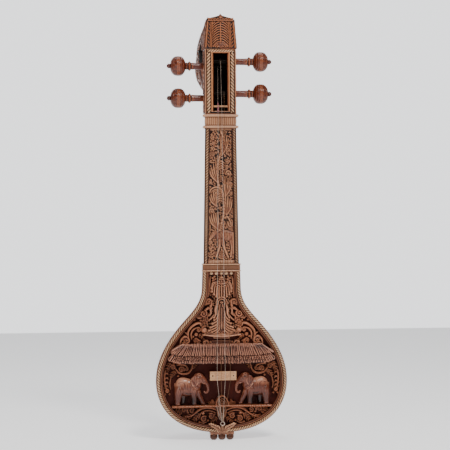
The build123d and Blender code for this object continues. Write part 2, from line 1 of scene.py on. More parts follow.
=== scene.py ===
"""Looks of the carved long-necked lute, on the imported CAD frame.

Lengths are in millimetres and are turned into metres where a mesh is made. The front faces -Y.
Carving is made as heights over a fine grid (class Relief), turned parts as lathe rings, and ropes,
mouldings and the scroll as rings along a path.
"""

import math

import bpy
import numpy as np
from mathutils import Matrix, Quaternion, Vector


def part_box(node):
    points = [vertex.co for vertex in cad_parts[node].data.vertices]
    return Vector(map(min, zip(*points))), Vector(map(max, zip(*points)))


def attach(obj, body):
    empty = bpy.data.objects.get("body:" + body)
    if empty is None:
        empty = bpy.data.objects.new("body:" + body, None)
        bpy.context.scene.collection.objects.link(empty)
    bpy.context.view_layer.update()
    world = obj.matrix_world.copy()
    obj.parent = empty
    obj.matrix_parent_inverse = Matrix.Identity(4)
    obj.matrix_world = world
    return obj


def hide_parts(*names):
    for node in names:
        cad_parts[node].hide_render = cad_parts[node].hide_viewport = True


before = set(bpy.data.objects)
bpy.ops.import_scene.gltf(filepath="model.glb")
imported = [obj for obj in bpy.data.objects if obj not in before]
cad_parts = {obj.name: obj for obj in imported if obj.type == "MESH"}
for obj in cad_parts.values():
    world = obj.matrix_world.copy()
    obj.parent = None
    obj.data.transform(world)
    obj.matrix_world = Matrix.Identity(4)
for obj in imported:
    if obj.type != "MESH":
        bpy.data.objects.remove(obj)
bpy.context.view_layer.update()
ROOT = "instrument"
SEED = 7
rng = np.random.default_rng(SEED)


def node_box(node):
    """A CAD node's lowest and highest corner, in millimetres."""
    low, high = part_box(node)
    return np.array(low) * 1000, np.array(high) * 1000


def side_name(side):
    """What the pieces of a side are called: left for -1 and right for 1."""
    return "left" if side < 0 else "right"


def new_object(name, data):
    """An object for some data, linked to the scene."""
    holder = bpy.data.objects.new(name, data)
    bpy.context.scene.collection.objects.link(holder)
    return holder


def polar(centre, radius, angle):
    """The point at a distance from a centre, at an angle in radians."""
    return centre[0] + radius * math.cos(angle), centre[1] + radius * math.sin(angle)


rim_low, rim_high = node_box("rim_frame")
FRONT_Y = rim_low[1]
BOARD_Y = node_box("soundboard")[0][1]
BODY_BOTTOM_Z, BODY_TOP_Z = rim_low[2], rim_high[2]
BODY_HALF = rim_high[0]
NECK_LOW, NECK_HIGH = node_box("neck_frame")
PANEL_LOW, PANEL_HIGH = node_box("neck_carving")
LEDGE_TOP = node_box("elephant_ledge")[1][2]


# ---------------------------------------------------------------- materials
def linear(rgb):
    """An 8-bit screen colour as the linear values that shaders use."""
    return [((c / 255 + 0.055) / 1.055) ** 2.4 if c > 10 else c / 255 / 12.92 for c in rgb] + [1.0]


def rich(rgb, depth=1.75, gain=0.52):
    """A wood colour made deeper and more saturated, so that it keeps its warmth under a white sky."""
    colour = np.array(linear(rgb)[:3])
    light = colour @ (0.2126, 0.7152, 0.0722)
    warm = (colour / light) ** depth
    warm *= gain * light / (warm @ (0.2126, 0.7152, 0.0722))
    return [*np.minimum(warm, 0.9).tolist(), 1.0]


class Shader:
    """Shorthand for making a material's nodes."""

    def __init__(self, name):
        self.material = bpy.data.materials.new(name)
        self.material.use_nodes = True
        self.nodes = self.material.node_tree.nodes
        self.links = self.material.node_tree.links
        self.bsdf = self.nodes["Principled BSDF"]

    def add(self, kind, inputs=None, **settings):
        node = self.nodes.new(kind)
        for key, value in settings.items():
            setattr(node, key, value)
        for key, value in (inputs or {}).items():
            self.put(node.inputs[key], value)
        return node

    def put(self, socket, value):
        if isinstance(value, bpy.types.NodeSocket):
            self.links.new(value, socket)
        else:
            socket.default_value = value

    def math(self, operation, a, b=0.0, clamp=False):
        node = self.add("ShaderNodeMath", {0: a, 1: b}, operation=operation, use_clamp=clamp)
        return node.outputs[0]

    def ramp(self, factor, stops):
        node = self.add("ShaderNodeValToRGB", {0: factor})
        ramp = node.color_ramp
        while len(ramp.elements) < len(stops):
            ramp.elements.new(0.5)
        for element, (place, colour) in zip(ramp.elements, stops):
            element.position = place
            element.color = colour if len(colour) == 4 else linear(colour)
        return node.outputs[0]

    def mix(self, factor, a, b, blend="MIX"):
        node = self.add("ShaderNodeMix", data_type="RGBA", blend_type=blend)
        self.put(node.inputs[0], factor)
        self.put(node.inputs[6], a)
        self.put(node.inputs[7], b)
        return node.outputs[2]

    def noise(self, scale, stretch=(1, 1, 1), detail=4.0, rough=0.55, distortion=0.0):
        """Noise in the object's own metres, stretched along the axes."""
        if not hasattr(self, "coords"):
            self.coords = self.add("ShaderNodeTexCoord").outputs["Object"]
        place = self.add("ShaderNodeMapping", {"Vector": self.coords, "Scale": stretch})
        inputs = {"Vector": place.outputs[0], "Scale": scale, "Detail": detail}
        inputs["Roughness"] = rough
        inputs["Distortion"] = distortion
        return self.add("ShaderNodeTexNoise", inputs).outputs["Fac"]


HOLLOW_BACK_Y = 0.0435  # metres: how far back the painted shade inside the pegbox goes


def wood(name, deep, body, high, rough=0.42, coat=0.25, carved=True, grain=0.35, hollow=None, gloss=0.35):
    """Waxed wood: grain along the neck, dark wax and painted shade in the hollows, and paler ridges from
    wear with painted highlight.

    Nearer the middle than hollow and in front of HOLLOW_BACK_Y, both in metres, the wood is painted nearly
    black as shade.
    """
    s = Shader(name)
    streaks = s.noise(420, (1, 1, 0.08), 6, 0.6, 0.6)
    pores = s.noise(1500, (1, 1, 0.12), 3, 0.7)
    patches = s.noise(14, (1, 1, 0.6), 3, 0.5)
    fibre = s.math("ADD", s.math("MULTIPLY", streaks, 0.7), s.math("MULTIPLY", pores, 0.3))
    # Pointiness lightens sharp edges, as real wear with painted highlight, and darkens hollows as painted
    # shade.
    edge = s.add("ShaderNodeNewGeometry").outputs["Pointiness"]
    wear_and_cavity_shade = s.math("MULTIPLY", s.math("SUBTRACT", edge, 0.5), 3.5)
    # The carved pieces' tone attribute holds painted shade low in the carving and painted highlight on its
    # ridges.
    if carved:
        tone = s.add("ShaderNodeAttribute", attribute_name="tone").outputs["Fac"]
    else:
        tone = s.math("ADD", 0.5, 0.0)
    tone = s.math("ADD", tone, wear_and_cavity_shade)
    varied = s.math("MULTIPLY", s.math("SUBTRACT", fibre, 0.5), grain * 1.6)
    tone = s.math("ADD", tone, varied)
    tone = s.math("ADD", tone, s.math("MULTIPLY", s.math("SUBTRACT", patches, 0.5), 0.35), clamp=True)
    colour = s.ramp(tone, [(0.05, rich(deep)), (0.5, rich(body)), (0.95, rich(high))])
    warm = s.ramp(s.noise(9, (1, 1, 0.5), 2), [(0.35, (0.93, 0.95, 1, 1)), (0.7, (1.06, 0.98, 0.92, 1))])
    colour = s.mix(0.8, colour, warm, "MULTIPLY")
    # Painted shade: the wood inside the pegbox is painted nearly black and loses its gloss.
    if hollow:
        place = s.add("ShaderNodeSeparateXYZ", {0: s.coords}).outputs
        middle = s.math("LESS_THAN", s.math("ABSOLUTE", place["X"]), hollow)
        in_shaded_hollow = s.math("MULTIPLY", middle, s.math("LESS_THAN", place["Y"], HOLLOW_BACK_Y))
        painted_hollow_shade = s.ramp(fibre, [(0.3, (6, 4, 3)), (0.7, (20, 12, 8))])
        colour = s.mix(in_shaded_hollow, colour, painted_hollow_shade)
        s.put(s.bsdf.inputs["Coat Weight"], s.math("SUBTRACT", coat, s.math("MULTIPLY", in_shaded_hollow, coat)))
        s.put(
            s.bsdf.inputs["Specular IOR Level"],
            s.math("SUBTRACT", gloss, s.math("MULTIPLY", in_shaded_hollow, gloss * 0.9))
        )
    s.put(s.bsdf.inputs["Base Color"], colour)
    dull = s.math("MULTIPLY", s.math("SUBTRACT", 1.0, tone), 0.22)
    speck = s.math("MULTIPLY", pores, 0.12)
    s.put(s.bsdf.inputs["Roughness"], s.math("ADD", s.math("ADD", rough - 0.08, dull), speck))
    if not hollow:
        s.bsdf.inputs["Coat Weight"].default_value = coat
        s.bsdf.inputs["Specular IOR Level"].default_value = gloss
    s.bsdf.inputs["Coat Roughness"].default_value = 0.28
    chisel = s.noise(260, (1, 1, 0.7), 2, 0.5)
    height = s.math("ADD", s.math("MULTIPLY", fibre, 0.35), s.math("MULTIPLY", chisel, 0.65))
    bump = s.add("ShaderNodeBump", {"Height": height, "Strength": 0.32, "Distance": 0.0006})
    s.put(s.bsdf.inputs["Normal"], bump.outputs[0])
    return s.material


def metal(name, colour, rough):
    """Drawn wire: bright, with fine marks along it and a little tarnish."""
    s = Shader(name)
    marks = s.noise(900, (1, 1, 0.05), 3)
    tarnish = s.noise(60, (1, 1, 0.4), 3)
    shade = s.ramp(tarnish, [(0.3, [c * 0.72 for c in colour]), (0.6, colour)])
    s.put(s.bsdf.inputs["Base Color"], shade)
    s.bsdf.inputs["Metallic"].default_value = 1.0
    s.put(s.bsdf.inputs["Roughness"], s.math("ADD", rough, s.math("MULTIPLY", marks, 0.2)))
    return s.material


def bone(name):
    """Old bone: cream, mottled, with brown in its pores and a soft polish."""
    s = Shader(name)
    mottle = s.noise(45, (1, 1, 1.6), 5, 0.6, 0.4)
    pores = s.noise(700, (0.25, 1, 1), 4, 0.7)
    # The tone attribute brings painted shade into the plate's cuts and painted highlight onto its raised
    # parts.
    tone = s.add("ShaderNodeAttribute", attribute_name="tone").outputs["Fac"]
    mixed = s.math("ADD", s.math("MULTIPLY", mottle, 0.55), s.math("MULTIPLY", pores, 0.25))
    mixed = s.math("ADD", mixed, s.math("MULTIPLY", s.math("SUBTRACT", tone, 0.5), 1.2), clamp=True)
    colour = s.ramp(
        mixed,
        [
            (0.05, rich((96, 66, 44))), (0.34, rich((188, 146, 112), 1.4, 0.62)),
            (0.7, rich((226, 186, 146), 1.4, 0.62))
        ]
    )
    s.put(s.bsdf.inputs["Base Color"], colour)
    s.put(s.bsdf.inputs["Roughness"], s.math("ADD", 0.3, s.math("MULTIPLY", pores, 0.2)))
    s.bsdf.inputs["Subsurface Weight"].default_value = 0.15
    s.bsdf.inputs["Subsurface Radius"].default_value = (0.003, 0.002, 0.001)
    s.bsdf.inputs["Coat Weight"].default_value = 0.3
    bump = s.add("ShaderNodeBump", {"Height": pores, "Strength": 0.2, "Distance": 0.0003})
    s.put(s.bsdf.inputs["Normal"], bump.outputs[0])
    return s.material


def thread(name):
    """Spun cotton thread with its twist and its fuzz."""
    s = Shader(name)
    twist = s.add("ShaderNodeTexWave", {"Scale": 900.0, "Distortion": 3.0}, bands_direction="DIAGONAL")
    s.put(
        s.bsdf.inputs["Base Color"],
        s.ramp(twist.outputs["Fac"], [(0.1, (120, 60, 68)), (0.8, (190, 112, 118))])
    )
    s.bsdf.inputs["Roughness"].default_value = 0.9
    s.bsdf.inputs["Sheen Weight"].default_value = 0.4
    return s.material


# CARVED, DARK and BRIGHT are lit and shaded copies of one rosewood: DARK, for the lower, eave and
# ground-line carving, is painted shade, and BRIGHT, for the palmette and cornice, is painted highlight.
CARVED = wood("carved_rosewood", (20, 7, 3), (100, 63, 47), (206, 162, 136))
DARK = wood("dark_rosewood", (16, 6, 3), (82, 51, 38), (172, 130, 106))
BRIGHT = wood("lighter_rosewood", (20, 7, 3), (102, 65, 49), (232, 190, 164))
HEAD = wood("head_rosewood", (24, 10, 5), (98, 62, 44), (190, 144, 112))
BORDER = wood("pegbox_border_wood", (40, 17, 8), (140, 96, 68), (244, 200, 164), coat=0.3)
ROOF = wood("thatch_rosewood", (20, 8, 5), (96, 63, 53), (212, 174, 156))
NECK = wood("neck_rosewood", (26, 9, 4), (122, 83, 62), (230, 190, 162))
BOARD = wood(
    "dark_board", (14, 5, 2), (46, 20, 11), (78, 40, 26), rough=0.55, coat=0.0, carved=False, gloss=0.15
)
LIGHT = wood("light_mouldings", (46, 28, 18), (150, 116, 94), (244, 210, 182), rough=0.38, coat=0.2)
ROPE = wood("rope_wood", (18, 8, 4), (116, 82, 60), (255, 226, 196), rough=0.34, coat=0.2, grain=0.2)
RIM = wood("rim_wood", (30, 14, 8), (108, 74, 56), (196, 156, 130), coat=0.2)
PLAIN = wood("frame_wood", (36, 18, 11), (106, 76, 58), (180, 142, 118), carved=False, coat=0.25)
SMOOTH = wood(
    "polished_elephants", (24, 9, 4), (106, 65, 45), (230, 188, 164), rough=0.28, coat=0.3, grain=0.3
)
TURNED = wood(
    "turned_pegs", (28, 10, 5), (102, 58, 38), (184, 132, 98), rough=0.28, coat=0.35, grain=0.3,
    hollow=0.0285
)
BOWL = wood(
    "bowl_wood", (34, 15, 8), (98, 60, 42), (150, 102, 76), rough=0.33, coat=0.3, carved=False, grain=0.8
)
PEGBOX = wood("pegbox_wood", (34, 14, 6), (116, 78, 60), (190, 146, 120), carved=False, hollow=0.0290)
INSIDE = wood("inner_wood", (10, 5, 3), (30, 18, 11), (56, 34, 22), rough=0.65, coat=0.0, carved=False)
STEEL = metal("steel_wire", (206, 186, 170), 0.34)
BRONZE = metal("bronze_wire", (132, 98, 74), 0.4)
DULL_WIRE = metal("dull_wound_wire", (72, 60, 52), 0.5)
BONE = bone("old_bone")
PIN = wood("ebony_pins", (10, 6, 5), (34, 20, 16), (70, 46, 36), carved=False)
THREAD = thread("pink_thread")


# ---------------------------------------------------------------- mesh helpers
def make_piece(name, verts, faces, material, slot, body=ROOT, replaces=(), tone=None, sharp=40.0):
    """A mesh piece from points in millimetres, riding on a CAD body."""
    mesh = bpy.data.meshes.new(name)
    mesh.from_pydata((np.asarray(verts, float) / 1000).tolist(), [], faces)
    mesh.update()
    mesh.shade_smooth()
    mesh.set_sharp_from_angle(angle=math.radians(sharp))
    mesh.materials.append(material)
    if tone is None:
        tone = np.full(len(mesh.vertices), 0.5)
    layer = mesh.attributes.new("tone", "FLOAT", "POINT")
    layer.data.foreach_set("value", np.asarray(tone, np.float32).ravel())
    piece = new_object(name, mesh)
    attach(piece, body)
    if replaces:
        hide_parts(*replaces)
    return piece


def ring_mesh(rings, caps=True):
    """Faces that join rings of equal length; rings is an array of shape (rings, points, 3)."""
    count, size = rings.shape[:2]
    faces = []
    for start in range(0, (count - 1) * size, size):
        for j in range(size):
            k = (j + 1) % size
            faces.append((start + j, start + k, start + size + k, start + size + j))
    if caps:
        faces.append(tuple(range(size - 1, -1, -1)))
        faces.append(tuple(range((count - 1) * size, count * size)))
    return rings.reshape(-1, 3), faces


def joined(parts):
    """Several (verts, faces) lists as one."""
    verts, faces, offset = [], [], 0
    for part_verts, part_faces in parts:
        verts.append(np.asarray(part_verts, float))
        faces += [tuple(i + offset for i in face) for face in part_faces]
        offset += len(part_verts)
    return np.vstack(verts), faces


def curve(points, per_span=6):
    """Points along a smooth line through the given ones."""
    p = np.array(points, float)
    if len(p) == 2:
        return p[0] + (p[1] - p[0]) * np.linspace(0, 1, per_span + 1)[:, None]
    padded = np.vstack([2 * p[0] - p[1], p, 2 * p[-1] - p[-2]])
    out = []
    for a, b, c, d in zip(padded, padded[1:], padded[2:], padded[3:]):
        for t in np.arange(per_span) / per_span:
            bend = (2 * a - 5 * b + 4 * c - d) * t**2 + (3 * b - a - 3 * c + d) * t**3
            out.append(0.5 * (2 * b + (c - a) * t + bend))
    out.append(p[-1])
    return np.array(out)


def even(points, step):
    """A line of points resampled to an even spacing."""
    p = np.asarray(points, float)
    run = np.concatenate([[0], np.cumsum(np.linalg.norm(np.diff(p, axis=0), axis=1))])
    count = max(2, int(round(run[-1] / step)) + 1)
    at = np.linspace(0, run[-1], count)
    return np.stack([np.interp(at, run, p[:, k]) for k in range(p.shape[1])], axis=1)


def directions(points):
    """Unit vectors along a line of points."""
    along = np.gradient(points, axis=0)
    return along / np.linalg.norm(along, axis=1)[:, None]


def tube(points, radius, sides=8):
    """A round tube along points; radius may be one number or one for each point."""
    p = np.asarray(points, float)
    radius = np.broadcast_to(radius, len(p))
    along = np.gradient(p, axis=0)
    along /= np.linalg.norm(along, axis=1)[:, None] + 1e-9
    up = np.array([0.0, 1.0, 0.0]) if abs(along[0][1]) < 0.9 else np.array([1.0, 0.0, 0.0])
    rings = []
    for centre, direction, r in zip(p, along, radius):
        up = up - direction * (up @ direction)
        up /= np.linalg.norm(up)
        side = np.cross(direction, up)
        angle = np.linspace(0, 2 * np.pi, sides, endpoint=False)
        rings.append(centre + r * (np.outer(np.cos(angle), up) + np.outer(np.sin(angle), side)))
    return ring_mesh(np.array(rings))


def ball(centre, radius, rows=12, columns=18):
    """A sphere, or an ellipsoid when radius has three numbers."""
    polar = np.linspace(0.02, np.pi - 0.02, rows)
    turn = np.linspace(0, 2 * np.pi, columns, endpoint=False)
    rings = [
        np.stack([np.sin(a) * np.cos(turn), np.sin(a) * np.sin(turn), np.full(columns, np.cos(a))], axis=1)
        for a in polar
    ]
    return ring_mesh(np.array(centre) + np.array(rings) * np.array(radius))


ROPE_STRANDS, STRAND_SIDES = 3, 10
STRAND_OFFSET, STRAND_SIZE = 0.55, 0.45  # a strand's place and radius, as shares of the rope's radius


def rope_parts(path, facing, radius, pitch, step=0.9):
    """Twisted strands round a path, with facing as the direction the rope's front looks."""
    p = even(path, step)
    along = directions(p)
    across = np.cross(along, facing)
    across /= np.linalg.norm(across, axis=1)[:, None]
    out = np.cross(across, along)
    run = np.arange(len(p)) * step
    parts, tones = [], []
    for strand in range(ROPE_STRANDS):
        turn = 2 * np.pi * (run / pitch + strand / ROPE_STRANDS)
        lie = across * np.cos(turn)[:, None] + out * np.sin(turn)[:, None]
        verts, faces = tube(p + lie * radius * STRAND_OFFSET, radius * STRAND_SIZE, STRAND_SIDES)
        axis = np.repeat(p, STRAND_SIDES, axis=0)
        proud = np.linalg.norm(verts - axis, axis=1) / radius
        front = np.clip((verts - axis) @ facing / radius, 0, 1)
        parts.append((verts, faces))
        # The tone paints highlight on each strand's crest, more where it faces the front, and shade in the
        # valleys between strands.
        tones.append(np.clip((proud - 0.74) / 0.24, 0, 1) ** 1.2 * (0.3 + 0.7 * front))
    return parts, np.concatenate(tones)


def lathe(profile, origin, axis, sides=56):
    """Rings of a turned part: profile is (distance along the axis, radius) pairs."""
    axis = np.asarray(axis, float)
    first = np.array([0.0, 0.0, 1.0]) if abs(axis[2]) < 0.9 else np.array([1.0, 0.0, 0.0])
    second = np.cross(axis, first)
    angle = np.linspace(0, 2 * np.pi, sides, endpoint=False)
    around = np.outer(np.cos(angle), first) + np.outer(np.sin(angle), second)
    rings = [np.asarray(origin) + axis * d + around * max(r, 0.02) for d, r in profile]
    return ring_mesh(np.array(rings))


# ---------------------------------------------------------------- carving
def blurred(values, cells):
    """Values smoothed over about that many cells in both directions."""
    size = 2 * cells + 1
    for _ in range(2):
        for axis in (0, 1):
            widths = [(cells + 1, cells) if k == axis else (0, 0) for k in (0, 1)]
            total = np.cumsum(np.pad(values, widths, mode="edge"), axis=axis)
            upper = np.take(total, range(size, total.shape[axis]), axis=axis)
            lower = np.take(total, range(0, total.shape[axis] - size), axis=axis)
            values = (upper - lower) / size
    return values


class Relief:
    """Carving kept as heights above a ground, over a grid with directions u and v."""

    def __init__(self, low, high, step=0.5):
        self.step = step
        self.u = np.arange(low[0], high[0] + step / 2, step)
        self.v = np.arange(low[1], high[1] + step / 2, step)
        self.h = np.zeros((len(self.u), len(self.v)))

    def span(self, low, high):
        """The grid slices between two corners."""
        a = np.searchsorted(self.u, low[0]), np.searchsorted(self.u, high[0])
        b = np.searchsorted(self.v, low[1]), np.searchsorted(self.v, high[1])
        return slice(*a), slice(*b)

    def lay(self, target, points, width, height, wall):
        """The greatest height of a rounded band along a smooth line, put into target."""
        line = curve(points)
        t = np.linspace(0, 1, len(line))
        width, height = np.atleast_1d(width), np.atleast_1d(height)
        w = np.maximum(np.interp(t, np.linspace(0, 1, len(width)), width), 0.3)
        h = np.interp(t, np.linspace(0, 1, len(height)), height)
        for i in range(len(line) - 1):
            a, b = line[i], line[i + 1]
            reach = max(w[i], w[i + 1])
            su, sv = self.span(np.minimum(a, b) - reach, np.maximum(a, b) + reach)
            u, v = self.u[su, None], self.v[None, sv]
            if not u.size or not v.size:
                continue
            d = b - a
            length = math.hypot(*d) + 1e-9
            share = np.clip(((u - a[0]) * d[0] + (v - a[1]) * d[1]) / length**2, 0, 1)
            away = np.hypot(u - a[0] - share * d[0], v - a[1] - share * d[1])
            ws = w[i] + share * (w[i + 1] - w[i])
            hs = h[i] + share * (h[i + 1] - h[i])
            x = away / ws
            top = hs * (wall + (1 - wall) * np.sqrt(np.clip(1 - x * x, 0, 1)))
            top[x > 1] = 0
            target[su, sv] = np.maximum(target[su, sv], top)

    def stroke(self, points, width, height, wall=0.5):
        """Raises a rounded band. Width is half the band's width; both may vary along it."""
        self.lay(self.h, points, width, height, wall)

    def cut(self, lines, width, depth):
        """Cuts V-shaped lines into what is already raised."""
        groove = np.zeros_like(self.h)
        for line in lines:
            self.lay(groove, line, width, depth, 0.15)
        self.h = np.where(self.h > 0, np.maximum(self.h - groove, 0.6), 0)

    def boss(self, centre, radius, height, wall=0.5, dimple=0.0):
        """Raises a round boss, with a dimple in its middle if asked."""
        su, sv = self.span(np.array(centre) - radius, np.array(centre) + radius)
        u, v = self.u[su, None], self.v[None, sv]
        x = np.hypot(u - centre[0], v - centre[1]) / radius
        top = height * (wall + (1 - wall) * np.sqrt(np.clip(1 - x * x, 0, 1)))
        top = top - dimple * np.clip(1 - (x / 0.45) ** 2, 0, 1)
        top[x > 1] = 0
        self.h[su, sv] = np.maximum(self.h[su, sv], top)

    def volute(self, centre, radius, start, turns, width, height, hand=1, eye=True):
        """A band that winds inwards to an eye. start is an angle in degrees; hand 1 winds anticlockwise."""
        count = max(6, int(9 * turns))
        t = np.linspace(0, 1, count)
        angle = math.radians(start) + hand * 2 * np.pi * turns * t
        r = radius * (1 - 0.72 * t)
        points = np.stack([centre[0] + r * np.cos(angle), centre[1] + r * np.sin(angle)], axis=1)
        self.stroke(points, [width, width * 0.85, width * 0.6], [height * 0.9, height])
        if eye:
            self.boss(centre, radius * 0.34, height * 1.1, 0.35)

    def acanthus(self, spine, width, height, lobes=5, lean=0.9, rib=0.16):
        """A leaf of rounded, overlapping lobes on both sides of a rib."""
        line = curve(spine)
        for i in range(lobes):
            t = 0.06 + 0.8 * i / max(lobes - 1, 1)
            k = min(int(t * (len(line) - 1)), len(line) - 2)
            root = line[k]
            ahead = line[k + 1] - line[k]
            ahead = ahead / (np.linalg.norm(ahead) + 1e-9)
            side = np.array([-ahead[1], ahead[0]])
            size = width * (0.62 + 0.5 * math.sin(math.pi * min(1.0, 0.15 + 0.75 * t)))
            size *= 1 - 0.35 * t
            for hand in (-1, 1):
                middle = root + ahead * size * lean * 0.25 + side * hand * size * 0.55
                tip = root + ahead * size * lean + side * hand * size * 0.92
                lobe = [size * 0.12, size * 0.24, size * 0.2, size * 0.07]
                self.stroke([root, middle, tip], lobe, [height * 0.78, height * 0.92, height * 0.7], 0.6)
        self.stroke(
            spine, [width * rib, width * rib * 1.1, width * rib * 0.5], [height, height, height * 0.85]
        )

    def fan(self, root, tips, width, height):
        """Blades that spread from one point, each a little overlapped by the next."""
        for tip in tips:
            root_point, end = np.array(root, float), np.array(tip, float)
            middle = (root_point + end) / 2
            self.stroke(
                [root_point, middle, end], [width * 0.5, width, width * 0.7, width * 0.3],
                [height, height * 0.85]
            )

    def berries(self, centre, radius, height, berry=1.9):
        """A cluster of small round berries."""
        rows = int(radius / berry) + 1
        for i in range(-rows, rows + 1):
            for j in range(-rows, rows + 1):
                spot = np.array([(i + 0.5 * (j % 2)) * berry * 1.8, j * berry * 1.6])
                away = np.linalg.norm(spot)
                if away <= radius:
                    self.boss(np.array(centre) + spot, berry, height * (1 - 0.25 * away / radius), 0.6)

    def scatter(self, count, size, height, inside):
        """Small leaflets where the ground is still bare, so that the carving fills its panel."""
        for _ in range(count):
            u, v = rng.uniform(self.u[0], self.u[-1]), rng.uniform(self.v[0], self.v[-1])
            i, j = np.searchsorted(self.u, u) - 1, np.searchsorted(self.v, v) - 1
            turn, bend = rng.uniform(0, 2 * np.pi), rng.uniform(-1.2, 1.2)
            if self.h[i, j] > 0.35 * height or not inside(np.array([[u]]), np.array([[v]]))[0, 0]:
                continue
            reach = size * rng.uniform(0.7, 1.2)
            line = [(u, v)]
            for step in (1, 2):
                a = turn + bend * step * 0.5
                line.append(polar(line[-1], reach, a))
            self.stroke(line, [0.5, 1.9, 0.6], [height * 0.8, height, height * 0.7], 0.45)

    def mirror(self):
        """Makes both halves alike, the higher of each pair of places winning."""
        self.h = np.maximum(self.h, self.h[::-1])

    def trim(self, inside):
        """Keeps only the places where inside(u, v) is true."""
        self.h[~inside(self.u[:, None], self.v[None, :])] = 0

    def hand_work(self, amount=0.22):
        """The small unevenness that a chisel leaves."""
        chips = blurred(rng.standard_normal(self.h.shape), 2)
        waves = blurred(rng.standard_normal(self.h.shape), 7)
        shape = amount * (chips / chips.std() + waves / waves.std()) * 0.5
        self.h = np.where(self.h > 0.7, self.h + shape, self.h)

    def build(self, name, place, material, depth, slot="carved_wood", back=-0.6, replaces=(), base=0.0):
        """A closed mesh of what is raised. place(u, v, h) gives the three coordinates in millimetres.

        The wood's tone rises with the height above base, and less steeply with a larger depth; it is
        painted shade low in the carving and in its crevices and painted highlight on its ridges.
        """
        self.hand_work()
        solid = self.h > 0.3
        grown = solid.copy()
        for axis in (0, 1):
            for way in (-1, 1):
                grown |= np.roll(solid, way, axis)
        cell = grown[:-1, :-1] & grown[1:, :-1] & grown[1:, 1:] & grown[:-1, 1:]
        used = np.zeros_like(grown)
        for su in (slice(None, -1), slice(1, None)):
            for sv in (slice(None, -1), slice(1, None)):
                used[su, sv] |= cell
        index = np.full(grown.shape, -1)
        index[used] = np.arange(used.sum())
        iu, iv = np.nonzero(used)
        soft = blurred(self.h, max(1, int(2.6 / self.step)))
        top = self.h[used]
        front = np.stack(place(self.u[iu], self.v[iv], top), axis=1)
        rear = np.stack(place(self.u[iu], self.v[iv], np.full(len(top), back)), axis=1)
        # Painted light: lighter on ridges and high parts, darker in crevices and deep parts; the backs get
        # a flat, darker tone.
        tone = 0.44 + (top - soft[used]) * 3.2 / depth + 0.5 * ((top - base) / depth - 0.66)
        i, j = np.nonzero(cell)
        n = len(top)
        quad = np.stack([index[i, j], index[i + 1, j], index[i + 1, j + 1], index[i, j + 1]], axis=1)
        faces = [quad, quad[:, ::-1] + n]
        open_cell = np.pad(cell, 1)
        for corner_a, corner_b, du, dv in (
            ((0, 0), (1, 0), 0, -1), ((1, 0), (1, 1), 1, 0), ((1, 1), (0, 1), 0, 1), ((0, 1), (0, 0), -1, 0)
        ):
            edge = ~open_cell[i + 1 + du, j + 1 + dv]
            a = index[i[edge] + corner_a[0], j[edge] + corner_a[1]]
            b = index[i[edge] + corner_b[0], j[edge] + corner_b[1]]
            faces.append(np.stack([b, a, a + n, b + n], axis=1))
        faces = np.vstack(faces).tolist()
        tones = np.concatenate([np.clip(tone, 0, 1), np.full(n, 0.25)])
        verts = np.vstack([front, rear])
        return make_piece(name, verts, faces, material, slot, replaces=replaces, tone=tones, sharp=75.0)


def on_face(y, side=1):
    """Places carving on a face that looks along -Y; side -1 swaps left and right."""
    return lambda u, v, h: (side * u, y - h, v)


# ---------------------------------------------------------------- the body's outline
SHOULDER = (96.0, 310.0)
WAIST = (50.5, 399.0)
COLLAR_HALF = 49.4
WIDE_Z = 154.7


def bezier(a, b, c, d, count=60):
    """Points along a cubic Bezier curve."""
    t = np.linspace(0, 1, count)[:, None]
    a, b, c, d = (np.array(p, float) for p in (a, b, c, d))
    return (1 - t) ** 3 * a + 3 * (1 - t) ** 2 * t * b + 3 * (1 - t) * t**2 * c + t**3 * d


def right_outline():
    """The right half of the outline in X and Z, from the bottom middle up to the collar."""
    lower = bezier((0, BODY_BOTTOM_Z), (105, BODY_BOTTOM_Z), (BODY_HALF, WIDE_Z - 85), (BODY_HALF, WIDE_Z))
    upper = bezier(
        (BODY_HALF, WIDE_Z), (BODY_HALF, WIDE_Z + 60), (SHOULDER[0] + 40.5, SHOULDER[1] - 45), SHOULDER
    )
    hollow = bezier(SHOULDER, (SHOULDER[0] - 29, SHOULDER[1] + 32), (WAIST[0], WAIST[1] - 38), WAIST)
    straight = np.array([WAIST, (COLLAR_HALF, BODY_TOP_Z + 0.5)])
    return np.vstack([lower, upper[1:], hollow[1:], straight[1:]])


half_line = even(right_outline(), 1.5)
OUTLINE = np.vstack([half_line[::-1], half_line[1:] * (-1, 1)])
along_outline = directions(OUTLINE)
INWARD = np.stack([along_outline[:, 1], -along_outline[:, 0]], axis=1)
if (INWARD[len(INWARD) // 2] @ np.array([0, 1])) < 0:
    INWARD = -INWARD


def inset_line(inset, y):
    """The outline drawn inwards, at one depth, as points in space."""
    flat = OUTLINE + INWARD * inset
    return np.stack([flat[:, 0], np.full(len(flat), y), flat[:, 1]], axis=1)


def inside_body(inset):
    """A test for places inside the outline drawn inwards."""
    flat = (OUTLINE + INWARD * inset)[: len(half_line)][::-1]

    def test(u, v):
        return (np.abs(u) < np.interp(v, flat[:, 1], flat[:, 0])) & (v > flat[0, 1])

    return test


